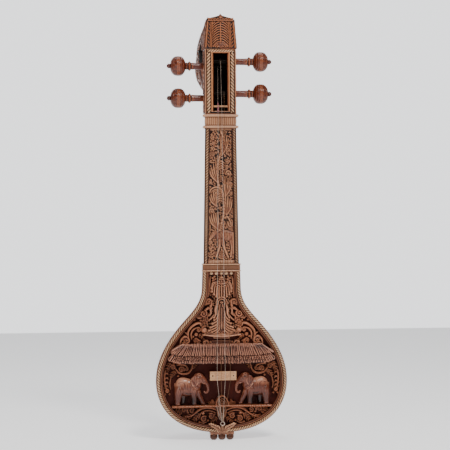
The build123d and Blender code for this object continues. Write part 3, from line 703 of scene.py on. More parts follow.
# ---------------------------------------------------------------- rim, rope and feet
RIM_PROFILE = [  # (inset from the outline, depth, tone); the tone is painted shade in the grooves and painted highlight on the bead
    (0, 0, 0.3), (0, -5.8, 0.3), (0.6, -7.4, 0.4), (1.6, -8.0, 0.45), (2.2, -7.2, 0.15),
    (2.6, -6.4, 0.0), (9.6, -6.4, 0.0), (10.2, -7.6, 0.05), (10.8, -9.0, 0.35), (12.0, -9.7, 0.75),
    (13.2, -9.0, 0.35), (13.7, -7.8, 0.05), (14.2, -7.0, 0.0), (14.8, -7.9, 0.3), (16.2, -8.0, 0.35),
    (17.0, -7.0, 0.3), (17.0, 8.2, 0.05), (9.3, 8.2, 0.0), (9.3, 0.3, 0.1),
]
ROPE_INSET, ROPE_RADIUS, ROPE_PITCH = 5.6, 4.1, 21.0
TO_VIEWER = np.array([0.0, -1.0, 0.0])

rim_rings = np.stack([inset_line(inset, y) for inset, y, _ in RIM_PROFILE], axis=1)
rim_tone = np.tile([tone for _, _, tone in RIM_PROFILE], len(OUTLINE))
make_piece("rim_moulding", *ring_mesh(rim_rings), RIM, "carved_wood", replaces=["rim_frame"], tone=rim_tone)

rope_path = inset_line(ROPE_INSET, FRONT_Y - 0.1)
strands, rope_tone = rope_parts(rope_path, TO_VIEWER, ROPE_RADIUS, ROPE_PITCH)
make_piece("rope_moulding", *joined(strands), ROPE, "light_wood", replaces=["rope_border"], tone=rope_tone)

KNOB_RADIUS, KNOB_CENTRE_Z = 10.2, 9.0
FOOT_SPACING = node_box("foot_knobs")[1][0] - KNOB_RADIUS
FOOT = wood("foot_wood", (16, 7, 4), (74, 50, 35), (140, 104, 80), rough=0.35, coat=0.15)
KNOB_PROFILE = [(0.0, 0.0)]
for share in np.linspace(0, 1, 26):
    height = 18.4 * share
    from_centre = height - KNOB_CENTRE_Z
    groove = 0.7 * (abs(from_centre) < 0.5) + 0.5 * (abs(height - 14.2) < 0.4)
    KNOB_PROFILE.append((height, math.sqrt(KNOB_RADIUS**2 - from_centre**2) - groove))
KNOB_PROFILE += [(18.8, 4.9), (19.1, 4.0)]
knobs = [lathe(KNOB_PROFILE, (k * FOOT_SPACING, 0, 0), (0, 0, 1), 40) for k in (-1, 0, 1)]
make_piece("turned_feet", *joined(knobs), FOOT, "carved_wood", replaces=["foot_knobs"])


# ---------------------------------------------------------------- collars
COLLAR_POINTS = 260
COLLAR_CORNER = 5.0


def collar_ring(half, front, z, flutes, depth):
    """One level of a collar: a flat front with rounded corners and a half-round back."""
    arc = np.linspace(0, np.pi, 90)
    back = np.stack([half * np.cos(arc), half * np.sin(arc)], axis=1)
    turn = np.linspace(0, np.pi / 2, 10)[1:]
    corner_x, corner_y = -half + COLLAR_CORNER, front + COLLAR_CORNER
    left = np.stack(
        [corner_x - COLLAR_CORNER * np.cos(turn), corner_y - COLLAR_CORNER * np.sin(turn)], axis=1
    )
    right = left[::-1] * (-1, 1)
    loop = even(np.vstack([back, left, right, back[:1]]), 1.0)
    run = np.linspace(0, 1, COLLAR_POINTS, endpoint=False)
    at = np.linspace(0, 1, len(loop))
    p = np.stack([np.interp(run, at, loop[:, k]) for k in (0, 1)], axis=1)
    ahead = np.roll(p, -1, 0) - np.roll(p, 1, 0)
    out = np.stack([ahead[:, 1], -ahead[:, 0]], axis=1)
    out /= np.linalg.norm(out, axis=1)[:, None]
    if flutes:
        p = p - out * (depth * (0.5 + 0.5 * np.cos(2 * np.pi * flutes * run)))[:, None]
    return np.stack([p[:, 0], p[:, 1], np.full(COLLAR_POINTS, z)], axis=1)


def collar(name, rows, replaced, flutes, depth):
    """A collar from rows of (height, half-width, front depth, tone, fluted or not)."""
    rings = [collar_ring(half, front, z, flutes if cut else 0, depth) for z, half, front, _, cut in rows]
    tone = np.repeat([row[3] for row in rows], COLLAR_POINTS)
    make_piece(name, *ring_mesh(np.array(rings)), LIGHT, "light_wood", replaces=[replaced], tone=tone)


def flange_rows(low, high, half, front, lip=6.5):
    """Rows of a rounded ring between two heights."""
    rows = []
    for t in np.linspace(0, 1, 9):
        bulge = math.sin(math.pi * t) ** 0.55
        z, width, depth = low + (high - low) * t, half - lip * (1 - bulge), front + 3.2 * (1 - bulge)
        # Lighter where the ring bulges out, as painted highlight.
        rows.append((z, width, depth, 0.25 + 0.55 * bulge, False))
    return rows


upper_low, upper_high = node_box("upper_collar")
GROOVE = (40.2, -9.6, 0.05, False)  # half-width, front depth, tone and no flutes; the low tone is painted shade in the groove
waist_rows = []
for z in np.linspace(9.6, 28.4, 9):
    swell = math.sin(math.pi * (z - 9.6) / 18.8)
    waist_rows.append((upper_low[2] + z, 40.6 + 0.9 * swell, -10.4 - 0.6 * swell, 0.72, True))
upper_rows = (
    flange_rows(upper_low[2], upper_low[2] + 8.6, upper_high[0], upper_low[1])
    + [(upper_low[2] + 8.8, *GROOVE)]
    + waist_rows
    + [(upper_high[2] - 9.2, *GROOVE)]
    + flange_rows(upper_high[2] - 9.0, upper_high[2], upper_high[0], upper_low[1])
)
collar("fluted_collar", upper_rows, "upper_collar", 46, 1.9)

lower_low, lower_high = node_box("lower_collar")
band_rows = []
for k, z in enumerate(np.linspace(5.2, 15.6, 14)):
    cut = 0.7 if k % 3 == 1 else 0
    # The cut lines get a low tone as painted shade.
    tone = 0.12 if cut else 0.5
    band_rows.append((lower_low[2] + z, lower_high[0] - 1.4 - cut, -12.2 + cut, tone, False))
lower_rows = (
    flange_rows(lower_low[2], lower_low[2] + 4.6, lower_high[0], lower_low[1], 2.6)
    + band_rows
    + flange_rows(lower_high[2] - 4.6, lower_high[2], lower_high[0], lower_low[1], 2.6)
)
collar("lined_collar", lower_rows, "lower_collar", 0, 0.0)


# ---------------------------------------------------------------- neck frame
NECK_OUTER = (46.2, 40.5)  # half-widths at the foot and the top of the neck's frame
NECK_INNER = (34.0, 28.0)  # and of the panel inside it


def neck_half(z, halves, low_z, high_z):
    """A half-width that changes evenly between two heights."""
    return halves[0] + (z - low_z) / (high_z - low_z) * (halves[1] - halves[0])


def neck_outer(z):
    """Half-width of the neck at a height."""
    return neck_half(z, NECK_OUTER, NECK_LOW[2], NECK_HIGH[2])


def neck_inner(z):
    """Half-width of the neck's panel at a height."""
    return neck_half(z, NECK_INNER, PANEL_LOW[2], PANEL_HIGH[2])


FRAME_PROFILE = [  # (share of the way from the outer edge to the panel, depth, tone); the tone is painted shade in the grooves and painted highlight on the raised edges
    (0, 0, 0.4), (0, -6.0, 0.45), (0.03, -7.2, 0.6), (0.07, -7.6, 0.6), (0.10, -7.0, 0.2),
    (0.12, -5.0, 0.0),
    (0.82, -5.0, 0.0), (0.84, -7.0, 0.15), (0.88, -7.9, 0.45), (0.94, -8.1, 0.5), (0.98, -7.6, 0.3),
    (1.0, -6.6, 0.1), (1.0, 0, 0.0),
]
levels = np.linspace(NECK_LOW[2], NECK_HIGH[2], 80)
frame_parts, frame_tone, beading, beading_tone = [], [], [], []
for side in (-1, 1):
    rings = []
    for z in levels:
        outer, inner = neck_outer(z), neck_inner(z)
        rings.append([(side * (outer + share * (inner - outer)), y, z) for share, y, _ in FRAME_PROFILE])
    rings = np.array(rings) if side > 0 else np.array(rings)[:, ::-1]
    frame_parts.append(ring_mesh(rings))
    tones = [t for _, _, t in FRAME_PROFILE]
    frame_tone += (tones if side > 0 else tones[::-1]) * len(levels)
    cord = []
    for z in (NECK_LOW[2] + 0.5, NECK_HIGH[2] - 0.5):
        outer, inner = neck_outer(z), neck_inner(z)
        cord.append((side * (0.53 * outer + 0.47 * inner), -4.6, z))
    strands, strand_tone = rope_parts(np.array(cord), TO_VIEWER, 4.3, side * ROPE_PITCH, step=0.8)
    beading += strands
    beading_tone.append(strand_tone)
make_piece(
    "neck_side_mouldings", *joined(frame_parts), RIM, "light_wood", replaces=["neck_frame"], tone=frame_tone
)
make_piece("neck_beading", *joined(beading), ROPE, "light_wood", tone=0.66 * np.concatenate(beading_tone))


BAR_BULGE = 2.2


def bar(x_half, low_z, high_z, front, waves=0):
    """A rounded cross bar, with scallops along its front if asked."""
    mid, half = (low_z + high_z) / 2, (high_z - low_z) / 2
    edge = front + BAR_BULGE
    rings = []
    for x in np.linspace(-x_half, x_half, 60):
        bulge = BAR_BULGE - (0.5 * math.cos(2 * math.pi * waves * x / x_half) if waves else 0.0)
        arc = np.linspace(-np.pi / 2, np.pi / 2, 11)[1:-1]
        section = [(x, edge - bulge * np.cos(a) ** 0.6, mid + half * np.sin(a)) for a in arc]
        rings.append([(x, 0.0, low_z), (x, edge, low_z), *section, (x, edge, high_z), (x, 0.0, high_z)])
    return ring_mesh(np.array(rings))


cross_bars = joined([
    bar(34.2, NECK_LOW[2], PANEL_LOW[2], FRONT_Y - 0.6, waves=5),
    bar(28.4, PANEL_HIGH[2], NECK_HIGH[2], FRONT_Y - 0.6),
])
make_piece("neck_cross_bars", *cross_bars, LIGHT, "light_wood", tone=np.full(len(cross_bars[0]), 0.72))


# ---------------------------------------------------------------- carving of the neck
def neck_carving():
    """A vine that climbs in slow curves, with long leaves, berries and curls, over a standing deer."""
    r = Relief((PANEL_LOW[0], PANEL_LOW[2]), (PANEL_HIGH[0], PANEL_HIGH[2]), 0.54)
    r.h[:] = 0.5
    # the deer
    r.stroke([(-5, 530), (9, 531), (23, 529)], [11.5, 14.0, 13.5], [6.4, 7.4, 7.2], 0.35)
    r.stroke([(-6, 532), (-14, 538), (-20, 534)], [8, 6.5, 6], [6.4, 6.6, 6.6], 0.4)
    r.stroke([(-18, 536), (-25, 528), (-30, 520)], [6.5, 5, 3], [6.8, 6.6, 6.0], 0.4)
    for root, knee, hoof in (((-2, 520), (-5, 500), (-13, 475)), ((3, 518), (9, 497), (18, 474))):
        r.stroke([root, knee, hoof], [6, 3.0, 2.7], [6.6, 6.4, 6.0], 0.45)
    for root, knee, hoof in (((26, 520), (28, 500), (25, 476)), ((29, 522), (31, 502), (31, 484))):
        r.stroke([root, knee, hoof], [6.0, 3.0, 2.6], [6.6, 6.2, 6.0], 0.45)
    for antler in ([(-18, 542), (-26, 546), (-30, 540)], [(-15, 541), (-16, 548), (-24, 551)]):
        r.stroke(antler, [1.6, 1.4, 0.8], 6.2)
    r.acanthus([(-27, 474), (-26, 488), (-22, 505)], 9, 5.0, 4)
    r.acanthus([(2, 470), (2, 480), (1, 490)], 9, 5.4, 4)
    r.volute((-27, 512), 6, 250, 1.1, 1.7, 5.4, -1)
    r.stroke([(-31, 500), (-28, 496), (-22, 501)], [2, 2.2, 1], 5.4)
    r.stroke([(33, 500), (30, 488), (31, 472)], [1.5, 2.5, 2], 4.6)
    r.cut(
        [
            [(-2, 538), (2, 528), (-1, 517)], [(14, 540), (16, 528), (14, 516)],
            [(-22, 536), (-25, 533), (-26, 530)]
        ],
        0.9, 1.6
    )
    # big leaves, each a fan of long blades
    blades = [
        ((-7, 545), [(-31, 580), (-26, 584), (-20, 588), (-14, 588), (-8, 590)], 2.6),
        ((14, 583), [(29, 622), (24, 626), (18, 632), (11, 640), (5, 640)], 2.8),
        ((-8, 668), [(-29, 700), (-25, 708), (-19, 716), (-13, 728), (-8, 738)], 2.7),
        ((2, 738), [(20, 782), (16, 790), (11, 797), (6, 800), (1, 797)], 2.8),
        ((12, 632), [(27, 668), (24, 674), (19, 680), (13, 684), (8, 684)], 2.2),
        ((-12, 606), [(-30, 632), (-26, 640), (-20, 646), (-13, 648)], 2.2),
    ]
    for root, tips, width in blades:
        for k, tip in enumerate(tips):
            root_point, end = np.array(root, float), np.array(tip, float)
            lean = np.array([(end[0] - root_point[0]) * 0.24, 0])
            middle = (root_point + end) / 2 + lean
            r.stroke(
                [root_point, middle, end], [width * 0.55, width, width * 0.85, width * 0.35],
                [6.2, 7.2, 6.4 - 0.2 * k]
            )
    # the main stem
    stem = [
        (-4, 544), (2, 566), (8, 592), (8, 618), (3, 640), (-6, 662), (-10, 688), (-9, 712), (-2, 738),
        (6, 760), (6, 784), (0, 801)
    ]
    r.stroke(stem, [3.0, 3.4, 3.2, 2.6], 7.0)
    stem_x, stem_z = zip(*stem)
    scallops = []
    for z in range(548, 800, 9):
        x = np.interp(z, stem_z, stem_x)
        scallops.append([(x - 4.5, z - 1.5), (x, z + 1.5), (x + 4.5, z - 1.5)])
    r.cut(scallops, 0.8, 1.5)
    for centre, radius in (((-2, 550), 9), ((1, 712), 7), ((-2, 628), 8)):
        for k in range(4):
            z = centre[1] + (k - 1.5) * 6
            r.stroke(
                [(centre[0] - radius, z - 2), (centre[0], z + 2.5), (centre[0] + radius, z - 2)],
                [1.2, 2.4, 1.2], 6.0
            )
    # curls and balls
    for centre, radius, start, turns, hand in (
        ((-20, 620), 7.5, 300, 1.2, 1), ((-24, 594), 6.5, 200, 1.1, -1), ((24, 664), 6.5, 250, 1.1, 1),
        ((20, 692), 7.5, 190, 1.1, -1), ((25, 560), 7.0, 160, 1.1, 1), ((-22, 756), 6.0, 290, 1.1, 1),
        ((20, 752), 5.5, 240, 1.1, -1), ((-14, 640), 8.0, 20, 1.2, 1), ((-21, 786), 6.0, 300, 1.2, -1),
        ((22, 602), 5.0, 90, 1.0, -1),
    ):
        r.volute(centre, radius, start, turns, radius * 0.27, 6.4, hand)
    for centre, radius in (
        ((18, 722), 5.5), ((16, 709), 5.0), ((-20, 742), 5.5), ((25, 547), 5.0), ((24, 774), 4.5),
        ((-19, 770), 5.5), ((-27, 668), 4.5), ((27, 640), 4.0)
    ):
        r.berries(centre, radius, 6.2)
    arch = [(-31, 641), (-24, 652), (-10, 656), (2, 648), (8, 634)]
    r.stroke(arch, [1.6, 2.2, 2.2, 1.8], 6.6)
    r.stroke([(-26, 642), (-18, 649), (-9, 650), (-2, 643)], [1.2, 1.6, 1.2], 6.2)
    for start, end in (
        ((8, 576), (28, 556)), ((-10, 700), (-28, 690)), ((6, 664), (26, 654)), ((4, 770), (26, 764))
    ):
        middle = ((start[0] + end[0]) / 2, max(start[1], end[1]) + 2)
        r.stroke([start, middle, end], [1.6, 2.4, 1.0], 6.4)
    for z in np.arange(552, 800, 13.5):
        for side in (-1, 1):
            x = side * (neck_inner(z) - 3.4)
            r.boss((x, z + 3 * side), 2.0, 4.6)

    def inside(u, v):
        return np.abs(u) < neck_inner(v) - 0.1

    r.scatter(1500, 3.1, 4.4, inside)
    r.trim(inside)
    r.h = np.minimum(r.h, -PANEL_LOW[1] - 0.3)
    r.build("neck_vine", on_face(PANEL_HIGH[1]), NECK, replaces=["neck_carving"], depth=8.4)


neck_carving()


# ---------------------------------------------------------------- carving on the soundboard
FIELD_INSET = 17.4  # from the outline to where the carving ends
WIDE_INSET = 17.2  # the same for the roof and the ground line, which run up to the rim


def palmette():
    """The tall ornament above the roof: bud, hanging leaves, medallion and a flared leaf column."""
    low, high = node_box("palmette")
    r = Relief((-52, low[2] - 1), (52, high[2] + 3), 0.45)
    # fluted column that widens into leaves
    r.stroke([(0, 282), (0, 300), (0, 322), (0, 347)], [10, 8, 7.5, 8], [14, 15, 15, 15], 0.8)
    r.stroke([(0, 289), (0, 299), (0, 312), (0, 342)], [2.6, 3.0, 1.6, 1.5], [18, 21, 20, 19])
    blades = (
        [(5, 345), (8, 330), (11, 318), (19, 311)],
        [(5.5, 334), (8, 318), (13, 308), (24, 302)],
        [(5, 326), (8, 310), (14, 299), (29, 292)],
        [(4.5, 318), (7.5, 303), (15, 292), (33, 284)],
        [(4, 312), (6.5, 297), (13, 287), (26, 280)],
        [(3.4, 306), (5.5, 293), (9, 284), (15, 279)],
    )
    for blade in blades:
        r.stroke(blade, [1.2, 2.2, 3.0, 2.2], [18, 20, 20.5, 19])
        r.boss(blade[-1], 3.3, 20.5, 0.6)
    r.stroke([(13, 348), (15.5, 338), (15, 328), (19, 318)], [2.8, 3.6, 3.2, 2.0], [18, 19, 19, 19], 0.55)
    r.boss((19.5, 318), 3.6, 20, 0.6)
    r.stroke([(24, 342), (28, 336), (27, 328), (33, 322)], [1.4, 2.4, 2.2, 1.4], 14)
    r.stroke([(18, 327), (25, 317), (33, 310)], [1.4, 2.6, 1.4], 15)
    r.boss((45, 285), 6.6, 19, 0.55)
    r.boss((44, 286.5), 3.2, 20.5, 0.6)
    for x in np.arange(3.6, 47, 7.4):
        r.stroke([(x - 3, 278.5), (x, 283), (x + 3, 278.5)], 1.3, 17, 0.6)
    # medallion with open rings over a small rosette
    r.boss((0, 357), 12.5, 11, 0.9)
    for radius, out in ((14.0, 20.5), (9.0, 21)):
        arc = [polar((0, 356.5), radius, a) for a in np.linspace(-0.16, 1.16, 15) * math.pi]
        r.stroke(arc, 1.6, out, 0.6)
    for a in np.linspace(0.2, 0.8, 3) * math.pi:
        r.stroke([(0, 354), polar((0, 355), 4.2, a)], [1.0, 1.7], [18, 21], 0.6)
    for x in (-7, -2.4, 2.4, 7):
        r.stroke([(x, 352), (x * 0.9, 346)], 1.5, 18, 0.6)
    # hanging leaves
    for tip in ((26, 394), (25, 385.5), (20, 378), (13.5, 372.5), (6.8, 369.5)):
        root = (3 + tip[0] * 0.1, 409)
        middle = (tip[0] * 0.8 + 1, (root[1] + tip[1]) / 2 + 6.5)
        r.stroke([root, middle, tip], [1.0, 2.3, 2.6], [15, 19, 20], 0.45)
        r.boss(tip, 3.3, 22, 0.6)
    r.stroke([(0, 408), (0, 388), (0, 371)], [1.8, 2.4, 2.0], [20, 21, 20])
    for z in (398, 404):
        r.stroke([(3, z), (9, z + 3), (15, z - 1)], [1.2, 1.8, 1.0], 20.5)
    # bud between ferns
    r.stroke([(0, 403), (0, 412), (0, 425)], [6, 8.0, 2.5], [16, 18, 14])
    for z, half in ((407, 5.6), (412, 6.6), (417, 4.8), (421.5, 2.4)):
        for x in np.linspace(-half, half, 4 if z % 2 else 3):
            r.boss((x, z), 2.6, 22 - 0.25 * abs(x), 0.6)
    r.stroke([(14, 408), (18, 413), (20, 419), (19, 425)], [1.4, 2.4, 2.4, 1.2], [13, 14, 14, 12])
    for z, x in ((410, 16), (413, 22), (417, 16), (420, 23), (424, 17)):
        r.boss((x, z), 2.4, 15.5, 0.6)
    r.stroke([(28.5, 424), (29.5, 404), (28.5, 384)], [1.2, 2.0, 1.2], 11)
    r.mirror()

    def field(u, v):
        return inside_body(FIELD_INSET)(u, v) & (np.abs(u) < 50) & (v > low[2] - 0.5) & (v < 426.4)

    r.scatter(
        900, 3.4, 9.0, lambda u,
        v: field(u, v) & (np.abs(u) < np.interp(v, [280, 330, 345, 425], [44, 26, 24, 29]))
    )
    r.trim(field)
    r.build("palmette_carving", on_face(BOARD_Y), BRIGHT, replaces=["palmette"], depth=21)


def cornice():
    """The moulded ledge under the palmette and the small block that carries it."""
    low, high = node_box("cornice")
    r = Relief((low[0] - 3, low[2] - 3), (high[0] + 3, high[2] + 1))
    ledge = high[2] - 4.0
    r.stroke(
        [(-49, ledge + 2), (-24, ledge - 1), (0, ledge - 2), (24, ledge - 1), (49, ledge + 2)],
        [1.6, 2.4, 2.8, 2.4, 1.6], [24, 27, 28, 27, 24], 0.8
    )
    r.stroke([(-43, ledge + 4.5), (0, ledge + 1.5), (43, ledge + 4.5)], 2.2, 21, 0.7)
    r.stroke([(-22, low[2] + 4), (22, low[2] + 4)], 4.0, 9, 0.8)
    r.stroke([(-19, ledge - 7), (19, ledge - 7)], 2.0, 11, 0.8)
    for side in (-1, 1):
        r.stroke(
            [(side * 33, low[2] + 1), (side * 38, low[2] + 7), (side * 46, low[2] + 5)], [2, 3.6, 2], 12
        )
        r.boss((side * 44, low[2] + 3), 4.6, 14, dimple=4)
        r.boss((side * 28, low[2] + 4), 3.6, 11)
    r.build("cornice_moulding", on_face(BOARD_Y), BRIGHT, replaces=["cornice"], depth=26)


def shoulder_scrolls(side):
    """The curling foliage that fills the body's shoulder."""
    name = side_name(side)
    r = Relief((22, 246), (112, 428))
    r.volute((33.5, 358), 8.2, 210, 1.35, 2.6, 15, -1)
    r.stroke([(30, 346), (26, 352), (28, 344), (38, 338)], [2, 2.8, 2.6, 1.6], 13)
    r.stroke([(34, 372), (32, 392), (33, 418)], [1.6, 2.6, 1.8], [10, 11, 9])
    r.acanthus([(31, 378), (33, 392), (34, 404)], 5.5, 10, 3)
    r.stroke([(26, 333), (33, 343), (40, 338), (41, 331)], [1.4, 2.6, 2.4, 1.6], 14)
    r.volute((47, 328), 9, 120, 1.3, 2.9, 14.5, 1)
    r.acanthus([(40, 318), (44, 306), (52, 300)], 9, 14, 4)
    r.acanthus([(58, 318), (52, 322), (44, 336)], 7, 12.5, 3)
    r.boss((46, 285), 6.8, 19)
    r.stroke([(40, 296), (48, 294), (53, 286)], [1.5, 2.6, 1.5], 15)
    r.stroke(
        [(86, 262), (87, 280), (79, 293), (66, 302), (56, 303), (53, 296)], [2.0, 2.8, 3.4, 3.4, 3.0, 1.8],
        [12, 14, 16, 16.5, 16, 14]
    )
    r.stroke([(78, 262), (79, 276), (73, 287), (63, 292)], [1.4, 2.2, 2.4, 1.4], 13.5)
    r.volute((60, 286), 6, 60, 1.1, 2.2, 14.5, 1)
    r.boss((66, 274), 4.6, 14, dimple=3)
    r.volute((92, 258), 9.5, 20, 1.4, 2.9, 15, 1)
    r.stroke([(108, 250), (104, 262), (95, 269), (86, 266)], [1.6, 2.8, 3.0, 1.8], 14)
    r.acanthus([(70, 262), (64, 256), (56, 252)], 8, 12.5, 4)
    r.acanthus([(58, 272), (50, 268), (44, 258)], 6.5, 12, 3)
    for spot in ((40, 352), (54, 310), (70, 312), (100, 252), (74, 268), (39, 306)):
        r.boss(spot, 3.0, 12)
    for line in (
        [(64, 322), (60, 316), (50, 318)], [(96, 280), (90, 276), (88, 268)],
        [(30, 330), (36, 322), (38, 312)]
    ):
        r.stroke(line, [1.2, 2.2, 1.2], 12)
    r.cut(
        [[(86, 266), (86, 279), (78, 291), (66, 299), (57, 300)], [(104, 256), (100, 264), (93, 266)]], 0.8,
        1.7
    )
    r.trim(inside_body(FIELD_INSET))
    r.build(
        f"shoulder_foliage_{name}", on_face(BOARD_Y, side), CARVED, replaces=[f"shoulder_scrolls_{name}"],
        depth=17
    )


def thatched_roof():
    """Two tiers of thatch strands over the scene, flared out at the corners."""
    low, high = node_box("roof_eave")
    top, bottom, tip = high[2], low[2], high[0] + 3
    r = Relief((-tip, bottom - 5), (tip, top + 3), 0.55)
    lower = [
        (-tip + 6, bottom + 7), (-100, bottom + 2), (0, bottom + 1), (100, bottom + 2),
        (tip - 6, bottom + 7)
    ]
    r.stroke(lower, [5, 8, 9, 8, 5], [21, 28, 29, 28, 21], 0.75)
    body = [(-104, top - 19), (0, top - 19), (104, top - 19)]
    r.stroke(body, [12, 17, 12], [23, 24, 23], 0.8)
    for tier_low, tier_high, out_low, out_high, pitch in (
        (bottom - 2.5, bottom + 21, 32, 25, 3.9), (bottom + 17, top + 1, 34, 22, 4.5)
    ):
        for x in np.arange(-126, 126.1, pitch):
            x = x + rng.uniform(-0.8, 0.8)
            corner = abs(x) / 126
            z_low = tier_low + rng.uniform(-1.8, 1.2) + 8 * corner**6
            z_high = tier_high + rng.uniform(-0.6, 0.6)
            foot = x * (1.03 + 0.05 * corner**2)
            head = x * (1.0 - 0.17 * corner**2 if tier_high > top else 0.985)
            sway = rng.uniform(-1.3, 1.3)
            middle = ((foot + head) / 2 + sway, (z_low + z_high) / 2)
            line = [(head, z_high), middle, (foot, z_low)]
            lift = rng.uniform(-0.8, 0.8)
            r.stroke(
                line, [1.5, 2.2, 1.7],
                [out_high + lift, (out_high + out_low) / 2 + 1 + lift, out_low + lift - 2 * corner], 0.86
            )
    for side in (-1, 1):
        for k in range(5):
            start = (side * (98 + k * 5), top + 1 - k * 3.5)
            end = (side * (tip - 3 - k * 2.0), bottom + 10 - k * 1.6)
            middle = ((start[0] + end[0]) / 2 + side * 3, (start[1] + end[1]) / 2 - 3)
            r.stroke([start, middle, end], [1.6, 2.6, 1.5], [22, 26, 21], 0.8)
        r.volute((side * 118, bottom + 24), 6, 90, 1.1, 2.0, 25, side)
    nicks = []
    for x in np.arange(-122, 122, 5.2):
        for z in (bottom + 4, bottom + 9.5, bottom + 15):
            a = x + rng.uniform(-1.5, 1.5)
            nicks.append([(a - 1.6, z - 1.6 + rng.uniform(-1, 1)), (a + 1.8, z + 1.4)])
    r.cut(nicks, 0.9, 2.4)
    r.trim(inside_body(WIDE_INSET))
    r.build("thatched_roof", on_face(BOARD_Y), ROOF, replaces=["roof_eave"], depth=13, base=21)


def eave_bracket(side):
    """Hanging foliage under the roof's corner, with a creeper down the edge."""
    name = side_name(side)
    r = Relief((56, 112), (160, 206))
    r.volute((105, 184), 7.6, 200, 1.35, 2.4, 14.5, -1)
    r.stroke(
        [(120, 186), (112, 176), (98, 172), (86, 175), (78, 186), (76, 197)],
        [1.8, 2.6, 2.8, 2.6, 2.2, 1.4], 14.5
    )
    r.stroke([(116, 196), (106, 197), (94, 194), (88, 186)], [1.6, 2.6, 2.4, 1.4], 14)
    r.volute((127, 190), 6.6, 20, 1.2, 2.2, 14, 1)
    r.volute((92, 185), 5.0, 120, 1.0, 1.8, 13.5, 1)
    r.acanthus([(134, 200), (140, 190), (143, 178)], 7.5, 13, 4)
    r.acanthus([(120, 178), (128, 172), (134, 164)], 7.0, 12.5, 4)
    r.acanthus([(76, 186), (70, 194), (62, 200)], 6.0, 12, 4)
    r.stroke([(147, 180), (149, 165), (148, 150), (145, 136), (141, 128)], [1.8, 2.4, 2.6, 2.4, 1.8], 13)
    r.stroke([(131, 166), (134, 154), (135, 142), (133, 133)], [1.2, 1.9, 1.9, 1.2], 11.5)
    r.boss((142, 129), 5.8, 16, dimple=3)
    for z in (172, 160, 149, 139):
        r.stroke([(148, z), (142, z + 3), (139, z - 2)], [1.2, 2.2, 0.9], 12)
        r.stroke([(149, z - 4), (152, z - 1)], [1.2, 1.0], 11)
    for spot in ((136, 120), (147, 120), (113, 167), (98, 198), (124, 200)):
        r.boss(spot, 2.8, 11.5)
    r.cut(
        [[(118, 183), (110, 175), (98, 171.5), (87, 175), (80, 186)], [(148, 170), (148, 152), (144, 137)]],
        0.8, 1.6
    )
    r.trim(inside_body(FIELD_INSET))
    r.build(
        f"eave_foliage_{name}", on_face(BOARD_Y, side), DARK, replaces=[f"eave_bracket_{name}"], depth=16
    )


def lower_scrolls(side):
    """The rinceau below the ground line: a long stem with spirals and leaves."""
    name = side_name(side)
    r = Relief((2, 30), (132, 88))
    r.stroke(
        [(13, 77), (26, 82), (42, 83), (56, 80), (68, 71), (80, 63), (94, 61)],
        [2.4, 3.2, 3.6, 3.4, 3.2, 2.6, 1.4], [11, 13, 14, 14, 13.5, 12, 10]
    )
    r.stroke([(16, 70), (30, 76), (44, 76), (54, 70), (60, 60)], [1.6, 2.2, 2.4, 2.2, 1.2], 12.5)
    r.volute((28, 62), 7.4, 60, 1.4, 2.4, 13.5, 1)
    r.volute((47, 55), 7.6, 130, 1.4, 2.4, 13.5, -1)
    r.boss((49, 70), 4.6, 15)
    r.volute((77, 78), 6.4, 250, 1.2, 2.2, 13.5, 1)
    r.volute((98, 79), 6.8, 190, 1.3, 2.3, 13.5, -1)
    r.acanthus([(60, 68), (66, 58), (74, 50)], 8.5, 12.5, 4)
    r.acanthus([(80, 64), (92, 58), (104, 60)], 7.5, 12, 4)
    r.acanthus([(104, 72), (112, 74), (121, 80)], 7.5, 12, 4)
    r.acanthus([(14, 58), (20, 50), (30, 46)], 6.5, 11.5, 4)
    r.stroke([(4, 84), (5, 72), (4, 56)], [2.2, 2.8, 1.8], 13)
    r.stroke([(10, 84), (11, 72), (9, 60)], [1.6, 2.2, 1.2], 12)
    for spot in ((36, 50), (62, 78), (88, 72), (58, 46), (19, 66), (110, 83)):
        r.boss(spot, 2.9, 11.5)
    for line in (
        [(64, 84), (72, 86), (80, 84)], [(40, 47), (48, 44), (56, 45)], [(86, 84), (90, 76), (88, 70)]
    ):
        r.stroke(line, [1.2, 2.0, 1.0], 11.5)
    r.cut([[(14, 75), (27, 80), (42, 81), (55, 78), (67, 69), (79, 61.5)]], 0.9, 1.8)
    r.trim(inside_body(FIELD_INSET))
    r.build(
        f"lower_foliage_{name}", on_face(BOARD_Y, side), DARK, replaces=[f"lower_scrolls_{name}"], depth=19
    )


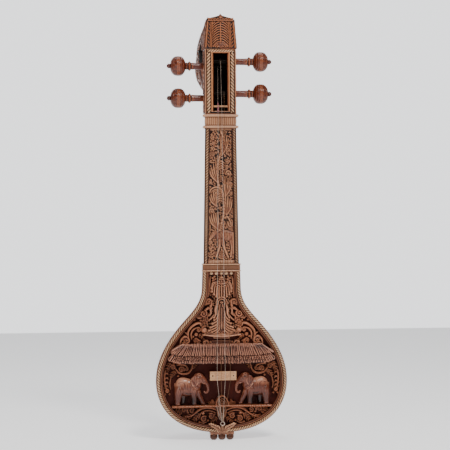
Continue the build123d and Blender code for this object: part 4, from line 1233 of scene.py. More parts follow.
def ledge_and_arch():
    """The ground line that the elephants stand on and the lotus arch in its middle."""
    low, high = node_box("elephant_ledge")
    r = Relief((low[0] - 2, low[2] - 1), (high[0] + 2, high[2] + 1))
    mid = (low[2] + high[2]) / 2
    r.stroke([(low[0] + 3, mid - 0.5), (0, mid), (high[0] - 3, mid - 0.5)], 3.0, 24.5, 0.82)
    r.cut([[(low[0], mid - 1.2), (high[0], mid - 1.2)]], 0.5, 1.2)
    r.trim(inside_body(WIDE_INSET))
    r.build("ground_line", on_face(BOARD_Y), DARK, replaces=["elephant_ledge"], depth=26)
    low, high = node_box("shrine_arch")
    r = Relief((-40, low[2] - 0.5), (40, high[2] + 3), 0.45)
    foot = low[2]
    for radius, width, out in ((16.2, 2.0, 25), (11.2, 1.5, 20), (7.2, 1.3, 18)):
        arc = [
            (radius * math.cos(a), foot + 1.45 * radius * math.sin(a) ** 1.3)
            for a in np.linspace(0, math.pi, 17)
        ]
        r.stroke(arc, width, out, 0.75)
    r.boss((0, foot + 2), 11.5, 11, 0.8)
    for a in np.linspace(0.15, 0.85, 5) * math.pi:
        r.stroke(
            [(0, foot + 1), (5.5 * math.cos(a), foot + 7.5 * math.sin(a))], [0.8, 1.5, 0.6], [16, 19], 0.6
        )
    for side in (-1, 1):
        r.acanthus([(side * 19, foot + 2), (side * 27, foot + 4), (side * 36, foot + 3)], 5.5, 18, 4)
        r.volute((side * 23, foot + 8), 4.2, 90, 1.1, 1.6, 17, -side)
    r.boss((0, foot + 24), 2.6, 23)
    r.build("lotus_arch", on_face(BOARD_Y), DARK, replaces=["shrine_arch"], depth=20)


palmette()
cornice()
thatched_roof()
ledge_and_arch()
for hand in (-1, 1):
    shoulder_scrolls(hand)
    eave_bracket(hand)
    lower_scrolls(hand)


# ---------------------------------------------------------------- elephants
ELEPHANT_SHAPES = [  # (points along a limb as (x, y, z), radii); x runs forwards
    (
        [(-103, -4, 139), (-97, -4, 139), (-88, -4, 137.5), (-78, -4, 139), (-70, -4, 143)],
        [20.5, 23.5, 23, 20.5, 16]
    ),
    ([(-103, -3, 147), (-94, -3, 147)], [17, 15]),
    ([(-72, -4, 148), (-66, -5, 154), (-61, -6, 159)], [15, 14.5, 14]),
    ([(-63, -6, 164), (-58, -7, 164)], [11, 10.5]),
    ([(-52, -7, 160), (-46, -8, 155), (-40.5, -9, 148), (-37, -10, 139), (-36.5, -10, 131),
      (-39.5, -10, 125), (-44, -10, 124), (-46.5, -10, 127)],
     [8.6, 6.4, 4.8, 3.9, 3.3, 3.0, 2.6, 2.1]),
    ([(-52, -12, 151), (-46, -14, 148), (-42, -14, 149)], [2.4, 2.0, 1.2]),
    ([(-110, -6, 132), (-114, -7, 118), (-115, -8, 104), (-116, -8, 97)], [14, 10.5, 7.4, 7.0]),
    ([(-98, 1, 126), (-100, 2, 112), (-101, 2, 98)], [10, 7.4, 5.8]),
    ([(-76, -7, 132), (-74, -8, 118), (-72.5, -9, 105), (-73, -9, 97.5)], [12.5, 8.6, 6.4, 6.4]),
    ([(-66, -2, 132), (-60, -2, 117), (-53, -3, 104), (-50.5, -3, 97.5)], [9.0, 6.6, 5.2, 5.6]),
    ([(-75, -8, 94.6), (-69, -9, 94.4)], [3.4, 3.0]),
    ([(-51, -4, 94.6), (-46.5, -5, 94.4)], [3.2, 2.8]),
    ([(-117, -9, 94.6), (-112, -10, 94.4)], [3.6, 3.2]),
    ([(-122, -3, 146), (-125, -4, 138), (-125.5, -4, 128), (-124.5, -4, 118)], [2.6, 1.9, 1.6, 2.6]),
]
EAR_FLAPS = [((-71, -17.5, 156), (9.5, 2.6, 12.5)), ((-76, -16.5, 149), (6, 2.2, 8))]


def mesh_vectors(elements, key):
    """One vector for each element of a mesh, as rows of an array."""
    values = np.empty(len(elements) * 3, np.float32)
    elements.foreach_get(key, values)
    return values.reshape(-1, 3)


def elephant(side):
    """A walking elephant in high relief, facing the middle."""
    name = side_name(side)
    parts = []
    for points, radii in ELEPHANT_SHAPES:
        path = curve(points, 10)
        size = np.interp(np.linspace(0, 1, len(path)), np.linspace(0, 1, len(radii)), radii)
        deep = np.minimum(1.0, 13.5 / size)
        for centre, radius, flat in zip(path, size, deep):
            parts.append(ball(centre, (radius, radius * flat, radius), 11, 18))
    for centre, radius in EAR_FLAPS:
        parts.append(ball(centre, radius, 12, 20))
    verts, faces = joined(parts)
    verts[:, 2] = np.maximum(verts[:, 2], LEDGE_TOP + 0.2)
    verts[:, 1] = np.minimum(verts[:, 1], BOARD_Y + 0.8)
    rough = bpy.data.meshes.new("rough")
    rough.from_pydata(verts.tolist(), [], faces)
    block = new_object("rough", rough)
    remesh = block.modifiers.new("join", "REMESH")
    remesh.mode, remesh.voxel_size = "VOXEL", 0.75
    soften = block.modifiers.new("soften", "SMOOTH")
    soften.factor, soften.iterations = 0.5, 9
    bpy.context.view_layer.update()
    graph = bpy.context.evaluated_depsgraph_get()
    clean = block.evaluated_get(graph).to_mesh()
    p = mesh_vectors(clean.vertices, "co").astype(float)
    n = mesh_vectors(clean.vertices, "normal")
    faces = [tuple(f.vertices) for f in clean.polygons]
    detail, tone = elephant_detail(p)
    front = np.clip(-n[:, 1] * 1.6, 0, 1)
    p += n * (detail * front)[:, None]
    bpy.data.objects.remove(block)
    # Painted light: a painted highlight along the back, and painted shade on the legs, the belly and the
    # faces turned away from the front.
    painted_back_highlight = np.clip((p[:, 2] - 138) / 26, 0, 1) * np.clip((-80 - p[:, 0]) / 10, 0, 1)
    under = np.clip((128 - p[:, 2]) / 20, 0, 1) * np.clip((-62 - p[:, 0]) / 14, 0, 1)
    under = under * np.clip((p[:, 0] + 112) / 12, 0, 1)
    painted_leg_shade = np.clip((126 - p[:, 2]) / 20, 0, 1)
    painted_turned_away_shade = np.clip(n[:, 1] + 0.2, 0, 1)
    tone = np.clip(tone + 0.5 * painted_back_highlight - 0.2 * painted_leg_shade - 0.25 * under - 0.25 * painted_turned_away_shade, 0, 1)
    if side > 0:
        p[:, 0] *= -1
        faces = [f[::-1] for f in faces]
    low, high = node_box(f"elephant_{name}")
    p[:, 0] = np.clip(p[:, 0], low[0] - 1.5, high[0] + 1.5)
    make_piece(
        f"carved_elephant_{name}", p, faces, SMOOTH, "polished_carving", replaces=[f"elephant_{name}"],
        tone=tone, sharp=60
    )


def elephant_detail(p):
    """Small heights and tones over the elephant: eye, harness ropes, ear folds, toes and hide folds; the
    tones darken the eye and most grooves as painted shade and lighten most raised lines as painted
    highlight.
    """
    x, z = p[:, 0], p[:, 2]
    detail = np.zeros(len(p))
    tone = np.full(len(p), 0.5)

    def line(points, width, height, shade):
        path = curve([(a, 0, b) for a, b in points], 10)
        gap = np.min(np.hypot(x[:, None] - path[:, 0], z[:, None] - path[:, 2]), axis=1)
        near = np.clip(1 - gap / width, 0, 1)
        near = near * near * (3 - 2 * near)
        return near * height, near * shade

    marks = [
        ([(-84, 166), (-78, 154), (-70, 144), (-61, 138)], 1.9, 1.2, -0.3),
        ([(-86, 161), (-81, 150), (-74, 139), (-66, 133)], 1.6, 1.0, 0.2),
        ([(-60, 165), (-57, 165.5)], 2.0, -1.0, -0.5),
        ([(-63, 168), (-58, 169.5), (-54, 166)], 1.3, 0.8, 0.15),
        ([(-78, 168), (-80, 156), (-77, 145), (-70, 143), (-64, 150), (-64, 160)], 1.6, 0.9, 0.25),
        ([(-72, 164), (-74, 156), (-72, 150)], 1.4, -0.9, -0.25),
        ([(-68, 163), (-69, 156), (-68, 150)], 1.2, -0.7, -0.2),
        ([(-113, 141), (-109, 128), (-110, 118)], 2.2, -0.9, -0.2),
        ([(-96, 124), (-88, 121), (-80, 124)], 2.0, -0.8, -0.3),
        ([(-114, 150), (-104, 152), (-97, 146), (-96, 134)], 1.6, -0.8, -0.25),
        ([(-64, 172), (-60, 174), (-56, 172)], 1.4, 0.8, 0.25),
        ([(-56, 158), (-53, 160), (-50, 158)], 1.2, -0.6, -0.3),
        ([(-84, 128), (-82, 140), (-80, 150)], 1.6, -0.7, -0.2),
        ([(-58, 128), (-52, 114), (-49, 102)], 1.4, 0.5, 0.25),
        ([(-100, 134), (-99, 146)], 2.4, -0.5, -0.1),
        ([(-92, 132), (-91, 147)], 2.4, -0.5, -0.1),
        ([(-70, 126), (-68, 112), (-67, 100)], 1.6, -0.6, -0.2),
    ]
    for k in range(6):
        reach = k / 5
        a, b = -47 + 8.5 * reach, 158 - 24 * reach
        marks.append(([(a - 4.2, b - 2.6), (a + 3.2, b + 1.5)], 1.0, -0.5, -0.2))
    for foot in (-115, -72, -49):
        for k in (-1, 0, 1):
            marks.append(([(foot + 1 + 2.6 * k, 95.5), (foot + 1 + 2.6 * k, 97)], 1.1, 0.6, 0.3))
    for points, width, height, shade in marks:
        rise, dark = line(points, width, height, shade)
        detail += rise
        tone += dark
    wrinkle = 0.16 * np.sin(0.9 * x + 0.35 * z) * np.clip((150 - z) / 25, 0, 1)
    return detail + wrinkle, tone


elephant(-1)
elephant(1)


# ---------------------------------------------------------------- pegbox
def inside_polygon(points):
    """A test for places inside a closed polygon."""
    corners = np.asarray(points, float)

    def test(u, v):
        crossed = np.zeros(np.broadcast_shapes(u.shape, v.shape), bool)
        for (x0, y0), (x1, y1) in zip(corners, np.roll(corners, -1, 0)):
            spans = (y0 > v) != (y1 > v)
            at = x0 + (v - y0) * (x1 - x0) / (y1 - y0 if y1 != y0 else 1e-9)
            crossed ^= spans & (u < at)
        return crossed

    return test


box_low, box_high = node_box("pegbox_frame")
PEGBOX_HALF, OPENING_HALF = box_high[0], 18.3
OPENING_LOW, OPENING_HIGH = 854.0, 1004.0
PEG_PLACES = {
    "upper_left": (-1, 973.5, 33.5), "upper_right": (1, 984.0, 15.5), "lower_left": (-1, 889.5, 33.5),
    "lower_right": (1, 900.0, 15.5)
}


def pegbox_frame():
    """The border round the pegbox opening: edge moulding, a rope with painted highlight on its lobes and an
    inner bevel.
    """
    loop = [(-1, -1), (1, -1), (1, 1), (-1, 1)]
    mid = (box_low[2] + box_high[2]) / 2
    open_mid, open_half = (OPENING_LOW + OPENING_HIGH) / 2, (OPENING_HIGH - OPENING_LOW) / 2
    high_half = (box_high[2] - box_low[2]) / 2
    profile = [  # (share from the outer edge to the opening, depth, tone); the tone is painted shade in the grooves and painted highlight on the raised rounds
        (0, -0.3, 0.2), (0, -5.6, 0.4), (0.02, -7.2, 0.5), (0.07, -7.8, 0.6), (0.13, -7.4, 0.4),
        (0.16, -5.6, 0.05), (0.18, -5.0, 0.0),
        (0.69, -5.0, 0.0), (0.72, -6.6, 0.2), (0.77, -8.0, 0.75), (0.84, -7.8, 0.7), (0.91, -5.8, 0.5),
        (1.0, -3.6, 0.25), (1.0, -0.3, 0.02),
    ]
    rings, tones = [], []
    for share, y, tone in profile:
        half_x = PEGBOX_HALF + share * (OPENING_HALF - PEGBOX_HALF)
        centre = mid + share * (open_mid - mid)
        half_z = high_half + share * (open_half - high_half)
        ring = []
        for k, (sx, sz) in enumerate(loop):
            here = np.array([sx * half_x, y, centre + sz * half_z])
            nx, nz = loop[(k + 1) % 4]
            there = np.array([nx * half_x, y, centre + nz * half_z])
            ring += [here + (there - here) * t for t in np.linspace(0, 1, 24, endpoint=False)]
        rings.append(ring)
        tones += [tone] * len(ring)
    rings = np.array(rings)
    make_piece(
        "pegbox_border", *ring_mesh(rings, caps=False), BORDER, "light_wood", replaces=["pegbox_frame"],
        tone=tones, sharp=35
    )
    rope_x = PEGBOX_HALF - 0.435 * (PEGBOX_HALF - OPENING_HALF)
    top_z = OPENING_HIGH + 0.52 * (box_high[2] - OPENING_HIGH)
    parts, tones = [], []
    for side in (-1, 1):
        line = np.array([(side * rope_x, -4.6, box_low[2] + 3), (side * rope_x, -4.6, top_z - 5)])
        strands, strand_tone = rope_parts(line, TO_VIEWER, 5.0, side * 26.0, step=0.9)
        parts += strands
        tones.append(strand_tone)
    line = np.array([(-rope_x - 3, -6.2, top_z), (rope_x + 3, -6.2, top_z)])
    strands, strand_tone = rope_parts(line, TO_VIEWER, 3.8, 21.0, step=0.8)
    make_piece(
        "pegbox_rope", *joined(parts + strands), ROPE, "light_wood",
        tone=np.concatenate([*tones, strand_tone])
    )


def pegbox_side(side):
    """Low leaf carving along one outer side of the pegbox."""
    name = side_name(side)
    r = Relief((1.5, box_low[2] + 2), (33, box_high[2] - 2), 0.6)
    low, high = box_low[2] + 4, box_high[2] - 4
    for x in (4.0, 30.5):
        r.stroke([(x, low), (x, high)], 1.5, 1.8, 0.6)
    for z in np.arange(low + 8, high - 8, 15.0):
        for lean in (-1, 1):
            r.stroke([(17, z - 4), (17 + lean * 6, z + 1), (17 + lean * 9.5, z + 8)], [1.2, 2.6, 0.8], 1.8)
    r.stroke([(17, low + 2), (17, high - 2)], 1.4, 2.0, 0.6)

    def clear(u, v):
        keep = (u * 0 + v * 0) == 0
        for _, z, y in PEG_PLACES.values():
            keep &= np.hypot(u - y, v - z) > 10.0
        return keep

    r.trim(clear)
    r.h += 0.12
    place = lambda u, v, h: (side * (PEGBOX_HALF + h), u, v)
    r.build(f"pegbox_leaves_{name}", place, CARVED, back=-0.4, depth=2.2)


pegbox_frame()
for hand in (-1, 1):
    pegbox_side(hand)


# ---------------------------------------------------------------- head
VOLUTE = VOLUTE_Y, VOLUTE_Z = 115.0, 972.0
VOLUTE_RADIUS = 53.0
HEAD_FOOT_Z = 1015.0
TO_MIDDLE = -1000  # the back of a carved side that reaches to the middle plane
OUTER_LINE = [
    (-6, 1092.5), (2, 1093.5), (20, 1089), (40, 1082), (63, 1072.5), (85, 1062), (108, 1050), (128, 1036),
    (145, 1020), (158, 1002), (165, 988), (168, 972)
]
INNER_LINE = [(50, 1015), (59, 1031), (78, 1037), (96, 1027), (104, 1008)]


def head_half(z):
    """The head's half-width at a height."""
    return np.interp(z, [1020, 1096], [PEGBOX_HALF, 34.4])


def volute_half(z):
    """The volute's half-width at a height; it narrows as it curls under."""
    return np.interp(z, [919, 930, 945, 960, 972], [33.0, 35.5, 41.0, 44.6, 46.3])


def neck_side_half(y, z):
    """Half-width of the scroll's neck, wider towards the volute."""
    return head_half(z) + (44.5 - head_half(z)) * np.clip((y - 50) / 80, 0, 1)


def from_middle(side, half):
    """Places a side's carving at its half-width, and its back at the middle plane."""

    def place(u, v, h):
        return side * np.where(h == TO_MIDDLE, 0.0, half(u, v) + h), u, v

    return place


def from_volute(y, z):
    """The distance from the volute's axis."""
    return np.hypot(y - VOLUTE_Y, z - VOLUTE_Z)


def volute_relief(reach, step):
    """A square of bare ground round the volute's axis."""
    return Relief((VOLUTE_Y - reach, VOLUTE_Z - reach), (VOLUTE_Y + reach, VOLUTE_Z + reach), step)


def head_panel():
    """The leafed front of the head between its two plain borders."""
    low, high = node_box("head_leaf_panel")
    edge = float(head_half(low[2]))
    r = Relief((-edge, low[2]), (edge, high[2]), 0.45)
    r.h[:] = 0.9
    top = high[2] - 2
    for x in (24.0, 27.4):
        for side in (-1, 1):
            r.stroke([(side * x, low[2]), (side * (x - 3.0), top)], 1.4, 3.6, 0.6)
    for side in (-1, 1):
        r.stroke(
            [(side * (edge - 1.9), low[2]), (side * (float(head_half(top)) - 1.9), top)], 1.9, 4.4, 0.7
        )
        for z in np.arange(low[2] + 5, top, 9.0):
            x = np.interp(z, [low[2], top], [32.6, 28.4])
            r.stroke(
                [(side * (x - 2.4), z - 3), (side * x, z + 1), (side * (x + 2.0), z + 4.5)],
                [0.8, 1.7, 0.8], 2.8
            )
    r.stroke([(0, low[2] + 8), (0, top)], [2.2, 1.6], 4.2)
    for z in np.arange(low[2] + 16, top + 16, 6.3):
        for side in (-1, 1):
            r.stroke(
                [(side * 1.5, z), (side * 8, z - 1.6), (side * 14.5, z - 6.0), (side * 20.6, z - 12.5)],
                [1.2, 1.6, 1.5, 1.1], [4.0, 3.8, 3.6, 3.2]
            )
    for radius in (19, 14, 9):
        arc = [
            (radius * math.cos(a), low[2] + 0.62 * radius * math.sin(a))
            for a in np.linspace(0.06, 0.94, 9) * math.pi
        ]
        r.stroke(arc, 1.7, 4.2, 0.6)
    for a in np.linspace(0.12, 0.88, 7) * math.pi:
        r.stroke([(0, low[2]), (8 * math.cos(a), low[2] + 7 * math.sin(a))], [0.8, 1.5], 4.2)
    for side in (-1, 1):
        r.acanthus([(side * 20, low[2] + 3), (side * 12, low[2] + 9), (side * 3, low[2] + 13)], 4.5, 3.8, 4)

    def inside(u, v):
        return np.abs(u) < head_half(v) - 0.1

    r.trim(inside)
    r.build("head_leaves", on_face(FRONT_Y), HEAD, replaces=["head_leaf_panel"], depth=6.2)


def head_crown():
    """The gable on top of the head, with corner knobs and small leaves."""
    low, high = node_box("head_crown")
    r = Relief((low[0], low[2]), (high[0], high[2]), 0.45)
    r.stroke([(-32, 1088), (0, 1088.5), (32, 1088)], 1.3, 3.6, 0.6)
    for x in np.arange(-28, 28.1, 7.0):
        r.stroke([(x - 3, 1090.5), (x, 1094), (x + 3, 1090.5)], 1.2, 3.4)
        r.boss((x, 1090.8), 1.2, 3.2)
    r.stroke([(-29, 1095.5), (-13, 1098), (0, 1103), (13, 1098), (29, 1095.5)], 1.2, 3.2)
    for x in (-31, 31):
        r.boss((x, 1093), 2.9, 4.0)
    r.fan((0, 1094), [(-7, 1098.5), (-3.8, 1101.5), (0, 1103), (3.8, 1101.5), (7, 1098.5)], 1.2, 4.0)
    outline = [
        (-34, 1086), (34, 1086), (34, 1096), (29, 1094.5), (14, 1098), (4, 1101), (0, 1106), (-4, 1101),
        (-14, 1098), (-29, 1094.5), (-34, 1096)
    ]
    r.h = np.maximum(r.h, 0.9)
    r.trim(inside_polygon(outline))
    r.build("head_gable", on_face(FRONT_Y), HEAD, replaces=["head_crown"], back=-7.5, depth=5.6)


def scroll_band():
    """The rounded, fluted strip that runs over the head and round the scroll."""
    angles = np.radians(np.linspace(0, -205, 60))
    circle = [polar(VOLUTE, VOLUTE_RADIUS, a) for a in angles]
    path = even(np.array(OUTER_LINE + circle[1:], float), 2.0)
    ahead = directions(path)
    out = np.stack([-ahead[:, 1], ahead[:, 0]], axis=1)
    run = np.arange(len(path)) * 2.0
    half = np.interp(path[:, 0], [0, 60, 110, 140], [34.6, 38.4, 44.0, 46.4])
    half = np.where(path[:, 1] < 985, np.minimum(volute_half(path[:, 1]) + 0.1, 46.4), half)
    across = np.linspace(-1, 1, 61)
    flutes = 1.0 + 1.1 * np.abs(np.cos(across * np.pi * 3.5)) ** 0.7
    edge = np.clip((1 - np.abs(across)) / 0.05, 0, 1)
    rings, tone = [], []
    for (y, z), (oy, oz), wide, s in zip(path, out, half, run):
        beat = 0.35 * math.cos(2 * math.pi * s / 11.0)
        high = (flutes + beat * (np.abs(across) > 0.72)) * edge
        section = [(x * wide, y + oy * h, z + oz * h) for x, h in zip(across, high)]
        section += [(wide, y - oy * 1.2, z - oz * 1.2), (-wide, y - oy * 1.2, z - oz * 1.2)]
        rings.append(section)
        # The tone is painted highlight on the flutes' crests and painted shade between them and on the
        # underside.
        tone += list(np.clip(0.15 + 0.33 * high, 0, 1)) + [0.1, 0.1]
    make_piece("scroll_flutes", *ring_mesh(np.array(rings)), CARVED, "carved_wood", tone=tone)


def scroll_side(side):
    """Carving on one side of the head: feathers along the scroll's neck, a wound spiral and a rosette."""
    name = side_name(side)
    outline = [
        (FRONT_Y + 0.5, HEAD_FOOT_Z), (FRONT_Y + 0.5, 1090), *OUTER_LINE[1:], (104, 1008),
        *INNER_LINE[::-1][1:]
    ]
    neck = Relief((FRONT_Y, 968), (169, 1096), 0.6)
    neck.h[:] = 0.5
    neck.stroke([(FRONT_Y + 2.4, HEAD_FOOT_Z), (FRONT_Y + 2.4, 1089)], 1.8, 2.8, 0.6)
    rail = [(a - 1.5, b - 4.5) for a, b in OUTER_LINE[1:]]
    neck.stroke(rail, 2.2, 3.0, 0.6)
    neck.stroke([(p[0] + 1, p[1] + 3.5) for p in INNER_LINE], 2.0, 2.8, 0.6)
    for k in range(11):
        t = k / 10
        root = (np.interp(t, [0, 1], [4, 112]), np.interp(t, [0, 0.5, 1], [1020, 1045, 1026]))
        tip = (np.interp(t, [0, 1], [16, 150]), np.interp(t, [0, 0.5, 1], [1076, 1064, 1012]))
        middle = ((root[0] + tip[0]) / 2 + 6, (root[1] + tip[1]) / 2)
        neck.stroke([root, middle, tip], [1.6, 3.6, 1.2], [2.4, 3.0, 2.0])
        neck.cut([[root, middle, tip]], 0.6, 0.9)
    neck.volute((22, 1032), 9, 0, 1.3, 2.4, 2.8, 1)
    neck.volute((56, 1048), 7.5, 120, 1.2, 2.2, 2.8, -1)

    def band(u, v):
        return inside_polygon(outline)(u, v) & (from_volute(u, v) > VOLUTE_RADIUS)

    neck.scatter(1100, 5.0, 2.3, band)
    neck.trim(band)
    stands_for = ["scroll_head"] if side < 0 else []
    neck.build(
        f"head_feathers_{name}", from_middle(side, neck_side_half), CARVED, back=TO_MIDDLE,
        replaces=stands_for, depth=3.8
    )

    disc = volute_relief(VOLUTE_RADIUS, 0.6)
    disc.h[:] = 0.6
    disc.volute(VOLUTE, 50, 20, 2.2, 4.6, 3.6, -1, eye=False)
    for a in np.radians(np.arange(0, 360, 15)):
        disc.stroke([polar(VOLUTE, 34.5, a), polar(VOLUTE, 45.0, a + 0.16)], [1.2, 2.6], 2.4)
    ring = [polar(VOLUTE, 20, a) for a in np.linspace(0, 2 * math.pi, 33)]
    disc.stroke(ring, 1.6, 3.2, 0.6)
    disc.trim(lambda u, v: from_volute(u, v) < VOLUTE_RADIUS - 0.7)
    place = from_middle(side, lambda u, v: volute_half(v) - 0.4)
    disc.build(f"scroll_spiral_{name}", place, CARVED, back=TO_MIDDLE, depth=4.4)

    rose = volute_relief(17, 0.45)
    rose.h[:] = 1.0
    for ring, count, length in ((15.2, 12, 6.0), (9.8, 8, 5.0)):
        for a in np.linspace(0, 2 * math.pi, count, endpoint=False):
            rose.stroke(
                [polar(VOLUTE, ring - length, a), polar(VOLUTE, ring - 2, a)], [1.6, 2.9],
                3.8 if ring > 12 else 4.4
            )
    rose.boss(VOLUTE, 4.4, 5.0)
    rose.trim(lambda u, v: from_volute(u, v) < 16.8)
    low, high = node_box(f"rosette_{name}")
    face = abs(low[0]) if side < 0 else abs(high[0])
    place = lambda u, v, h: (side * (face - 4.0 + h), u, v)
    rose.build(f"scroll_rosette_{name}", place, CARVED, replaces=[f"rosette_{name}"], back=-6.0, depth=5.2)


head_panel()
head_crown()
scroll_band()
for hand in (-1, 1):
    scroll_side(hand)


# ---------------------------------------------------------------- pegs and windings
PEG_SIDES = 72
PETAL_REACH, PETALS = (112.4, 119.0), 14
BEAD_REACH, BEADS = (103.4, 112.1), 36
COIL_TURNS, COIL_HALF = 5, 2.7
PEG_HEAD_RADIUS, BAND_REACH = 26.0, 107.4
SHAFT_RADIUS, TIP_RADIUS = 8.2, 5.8


def shaft_radius(reach):
    """The taper of a peg's shaft between the two walls of the pegbox."""
    share = (PEGBOX_HALF - np.minimum(reach, PEGBOX_HALF)) / (2 * PEGBOX_HALF)
    return SHAFT_RADIUS + share * (TIP_RADIUS - SHAFT_RADIUS)


HEAD_RINGS = (  # (distance from the band, half-width, height) of the rings, and of grooves where negative
    (-8.8, 1.5, 1.0), (-12.6, 1.3, 0.9), (-10.8, 0.6, -0.9), (9.6, 0.7, -1.1), (13.0, 0.7, -1.0),
    (16.0, 0.7, -0.9)
)


def head_curve():
    """The round of a peg head as (reach, radius), with a raised band, rings and grooves."""
    rows = []
    for reach in np.linspace(87.9, 127.2, 100):
        from_band = reach - BAND_REACH
        radius = PEG_HEAD_RADIUS * max(0.0, 1 - abs(from_band / 20.4) ** 2.3) ** (1 / 2.3)
        if abs(from_band) < 4.2:
            radius = 25.8 + 0.2 * math.cos(from_band * math.pi / 1.4)
        elif abs(from_band) < 5.2:
            radius = 24.4
        for centre, width, rise in HEAD_RINGS:
            radius += rise * max(0.0, 1 - abs(from_band - centre) / width)
        rows.append((reach, min(radius, PEG_HEAD_RADIUS)))
    return rows


PEG_ROWS = (
    [(-39.5, 0.0), (-39.5, 5.0), (-38.7, 5.8)]
    + [(r, float(shaft_radius(r))) for r in (-30, -10, 10, 30, 40.5)]
    + [
        (41.2, 8.3), (42.5, 8.7), (60, 8.6), (68, 8.9), (71, 9.4), (71.6, 8.4), (73.0, 8.4), (73.6, 9.8),
        (74.4, 10.9), (75.2, 10.6), (75.8, 11.8)
    ]
    + [
        (76.6, 12.7), (77.5, 13.0), (78.4, 12.7), (79.2, 11.4), (79.8, 10.2), (80.6, 10.5), (81.2, 9.5),
        (82.5, 9.0), (84.0, 8.9), (85.0, 9.6), (86.0, 9.8), (86.8, 9.0), (87.6, 8.8)
    ]
    + head_curve()
    + [
        (126.8, 6.2), (127.2, 4.8), (127.6, 5.4), (128.6, 5.9), (130, 6.2), (131.5, 6.2), (133.2, 5.7),
        (134.8, 4.7), (136.2, 3.0), (137.0, 0.0)
    ]
)
STRING_PATHS = {  # string: (x at the bridge, x at the collar, x at the peg, peg)
    "string_1": (-15.6, -7.6, -3.6, "upper_left"),
    "string_2": (-5.2, -2.6, -11.0, "lower_left"),
    "string_3": (5.2, 2.4, 1.8, "upper_right"),
    "string_4": (18.6, 9.0, 10.5, "lower_right"),
}
PEG_STRING_X = {peg: peg_x for _, _, peg_x, peg in STRING_PATHS.values()}
for peg, (side, z, y) in PEG_PLACES.items():
    rows = np.array(PEG_ROWS)
    verts, faces = lathe(PEG_ROWS, (0, y, z), (side, 0, 0), PEG_SIDES)
    turn = np.tile(np.linspace(0, 2 * np.pi, PEG_SIDES, endpoint=False), len(rows))
    reach = np.repeat(rows[:, 0], PEG_SIDES)
    petals = (reach > PETAL_REACH[0]) & (reach < PETAL_REACH[1]) & (np.cos(PETALS * turn) > 0.35)
    beads = (reach > BEAD_REACH[0]) & (reach < BEAD_REACH[1])
    shrink = 1 - 0.012 * petals - 0.006 * beads * (np.cos(BEADS * turn) > 0)
    centre = np.stack([verts[:, 0], np.full(len(verts), y), np.full(len(verts), z)], axis=1)
    verts = centre + (verts - centre) * shrink[:, None]
    # Painted light: rings that stand above the smoothed profile are lighter as painted highlight, grooves
    # and the cut petals darker as painted shade; the bead band is made lighter and the knob past the head
    # darker.
    smooth = np.convolve(np.pad(rows[:, 1], 2, mode="edge"), np.ones(5) / 5, mode="valid")
    tone = np.repeat(np.clip(0.5 + 0.35 * (rows[:, 1] - smooth), 0, 1), PEG_SIDES) - 0.12 * petals
    tone = np.where(beads, tone + 0.18, tone)
    tone = np.where(reach > 126.5, 0.25, tone)
    make_piece(
        f"turned_peg_{peg}", verts, faces, TURNED, "turned_wood", body=f"tuner_{peg}",
        replaces=[f"peg_{peg}"], tone=tone, sharp=38
    )
    at = PEG_STRING_X[peg] * side
    coil = []
    for t in np.linspace(0, 1, 200):
        r = at - COIL_HALF + 2 * COIL_HALF * t
        a = 2 * math.pi * COIL_TURNS * t + 0.5 * math.pi
        size = float(shaft_radius(r)) + 0.5
        coil.append((side * r, y + size * math.cos(a), z + size * math.sin(a)))
    metal_name = "bronze_string" if "lower" in peg else "steel_string"
    make_piece(
        f"string_turns_{peg}", *tube(coil, 0.53, 8), DULL_WIRE, metal_name, body=f"tuner_{peg}",
        replaces=[f"winding_{peg}"]
    )


# ---------------------------------------------------------------- bridge, nut, strings, tail
plate_low, plate_high = node_box("bridge_plate")


def closed(corners):
    """The sides of a closed polygon, each as a line."""
    return [[a, b] for a, b in zip(corners, corners[1:] + corners[:1])]


def bridge_plate():
    """The bone plate, with an incised border, a row of diamonds and a hole for each pin."""
    r = Relief((plate_low[0], plate_low[2]), (plate_high[0], plate_high[2]), 0.35)
    thick = plate_high[1] - plate_low[1]
    half_x, half_z = plate_high[0], (plate_high[2] - plate_low[2]) / 2
    mid = (plate_high[2] + plate_low[2]) / 2
    u, v = np.abs(r.u)[:, None], np.abs(r.v - mid)[None, :]
    edge = np.minimum(half_x - u, half_z - v)
    r.h[:] = thick - 1.1 * np.clip(1 - edge / 1.6, 0, 1) ** 2
    for inset in (3.0, 4.2):
        x, low, high = half_x - inset, mid - half_z + inset, mid + half_z - inset
        r.cut(closed([(-x, low), (x, low), (x, high), (-x, high)]), 0.35, 0.3)
    for x in np.arange(-15, 16, 6.0):
        r.cut(closed([(x - 2.6, mid), (x, mid + 3.2), (x + 2.6, mid), (x, mid - 3.2)]), 0.3, 0.28)
    for x in (-27, 27):
        r.h -= 0.5 * np.clip(3.1 - np.hypot(r.u[:, None] - x, r.v[None, :] - mid), 0, 1)
    r.trim(lambda a, b: np.minimum(np.hypot(a + 27, b - mid), np.hypot(a - 27, b - mid)) > 1.7)
    r.build(
        "bone_plate", on_face(plate_high[1]), BONE, slot="bone", replaces=["bridge_plate"], back=0.0,
        depth=thick
    )


bridge_plate()
pins = []
for x in (-27, 27):
    front = plate_low[1] + 0.25
    profile = [(0, 0), (0.05, 1.2), (0.5, 1.62), (4, 1.62), (10.5, 1.5), (10.8, 0)]
    pins.append(lathe(profile, (x, front, (plate_low[2] + plate_high[2]) / 2), (0, 1, 0), 24))
make_piece("dark_pegs", *joined(pins), PIN, "dark_pins", replaces=["bridge_pins"])

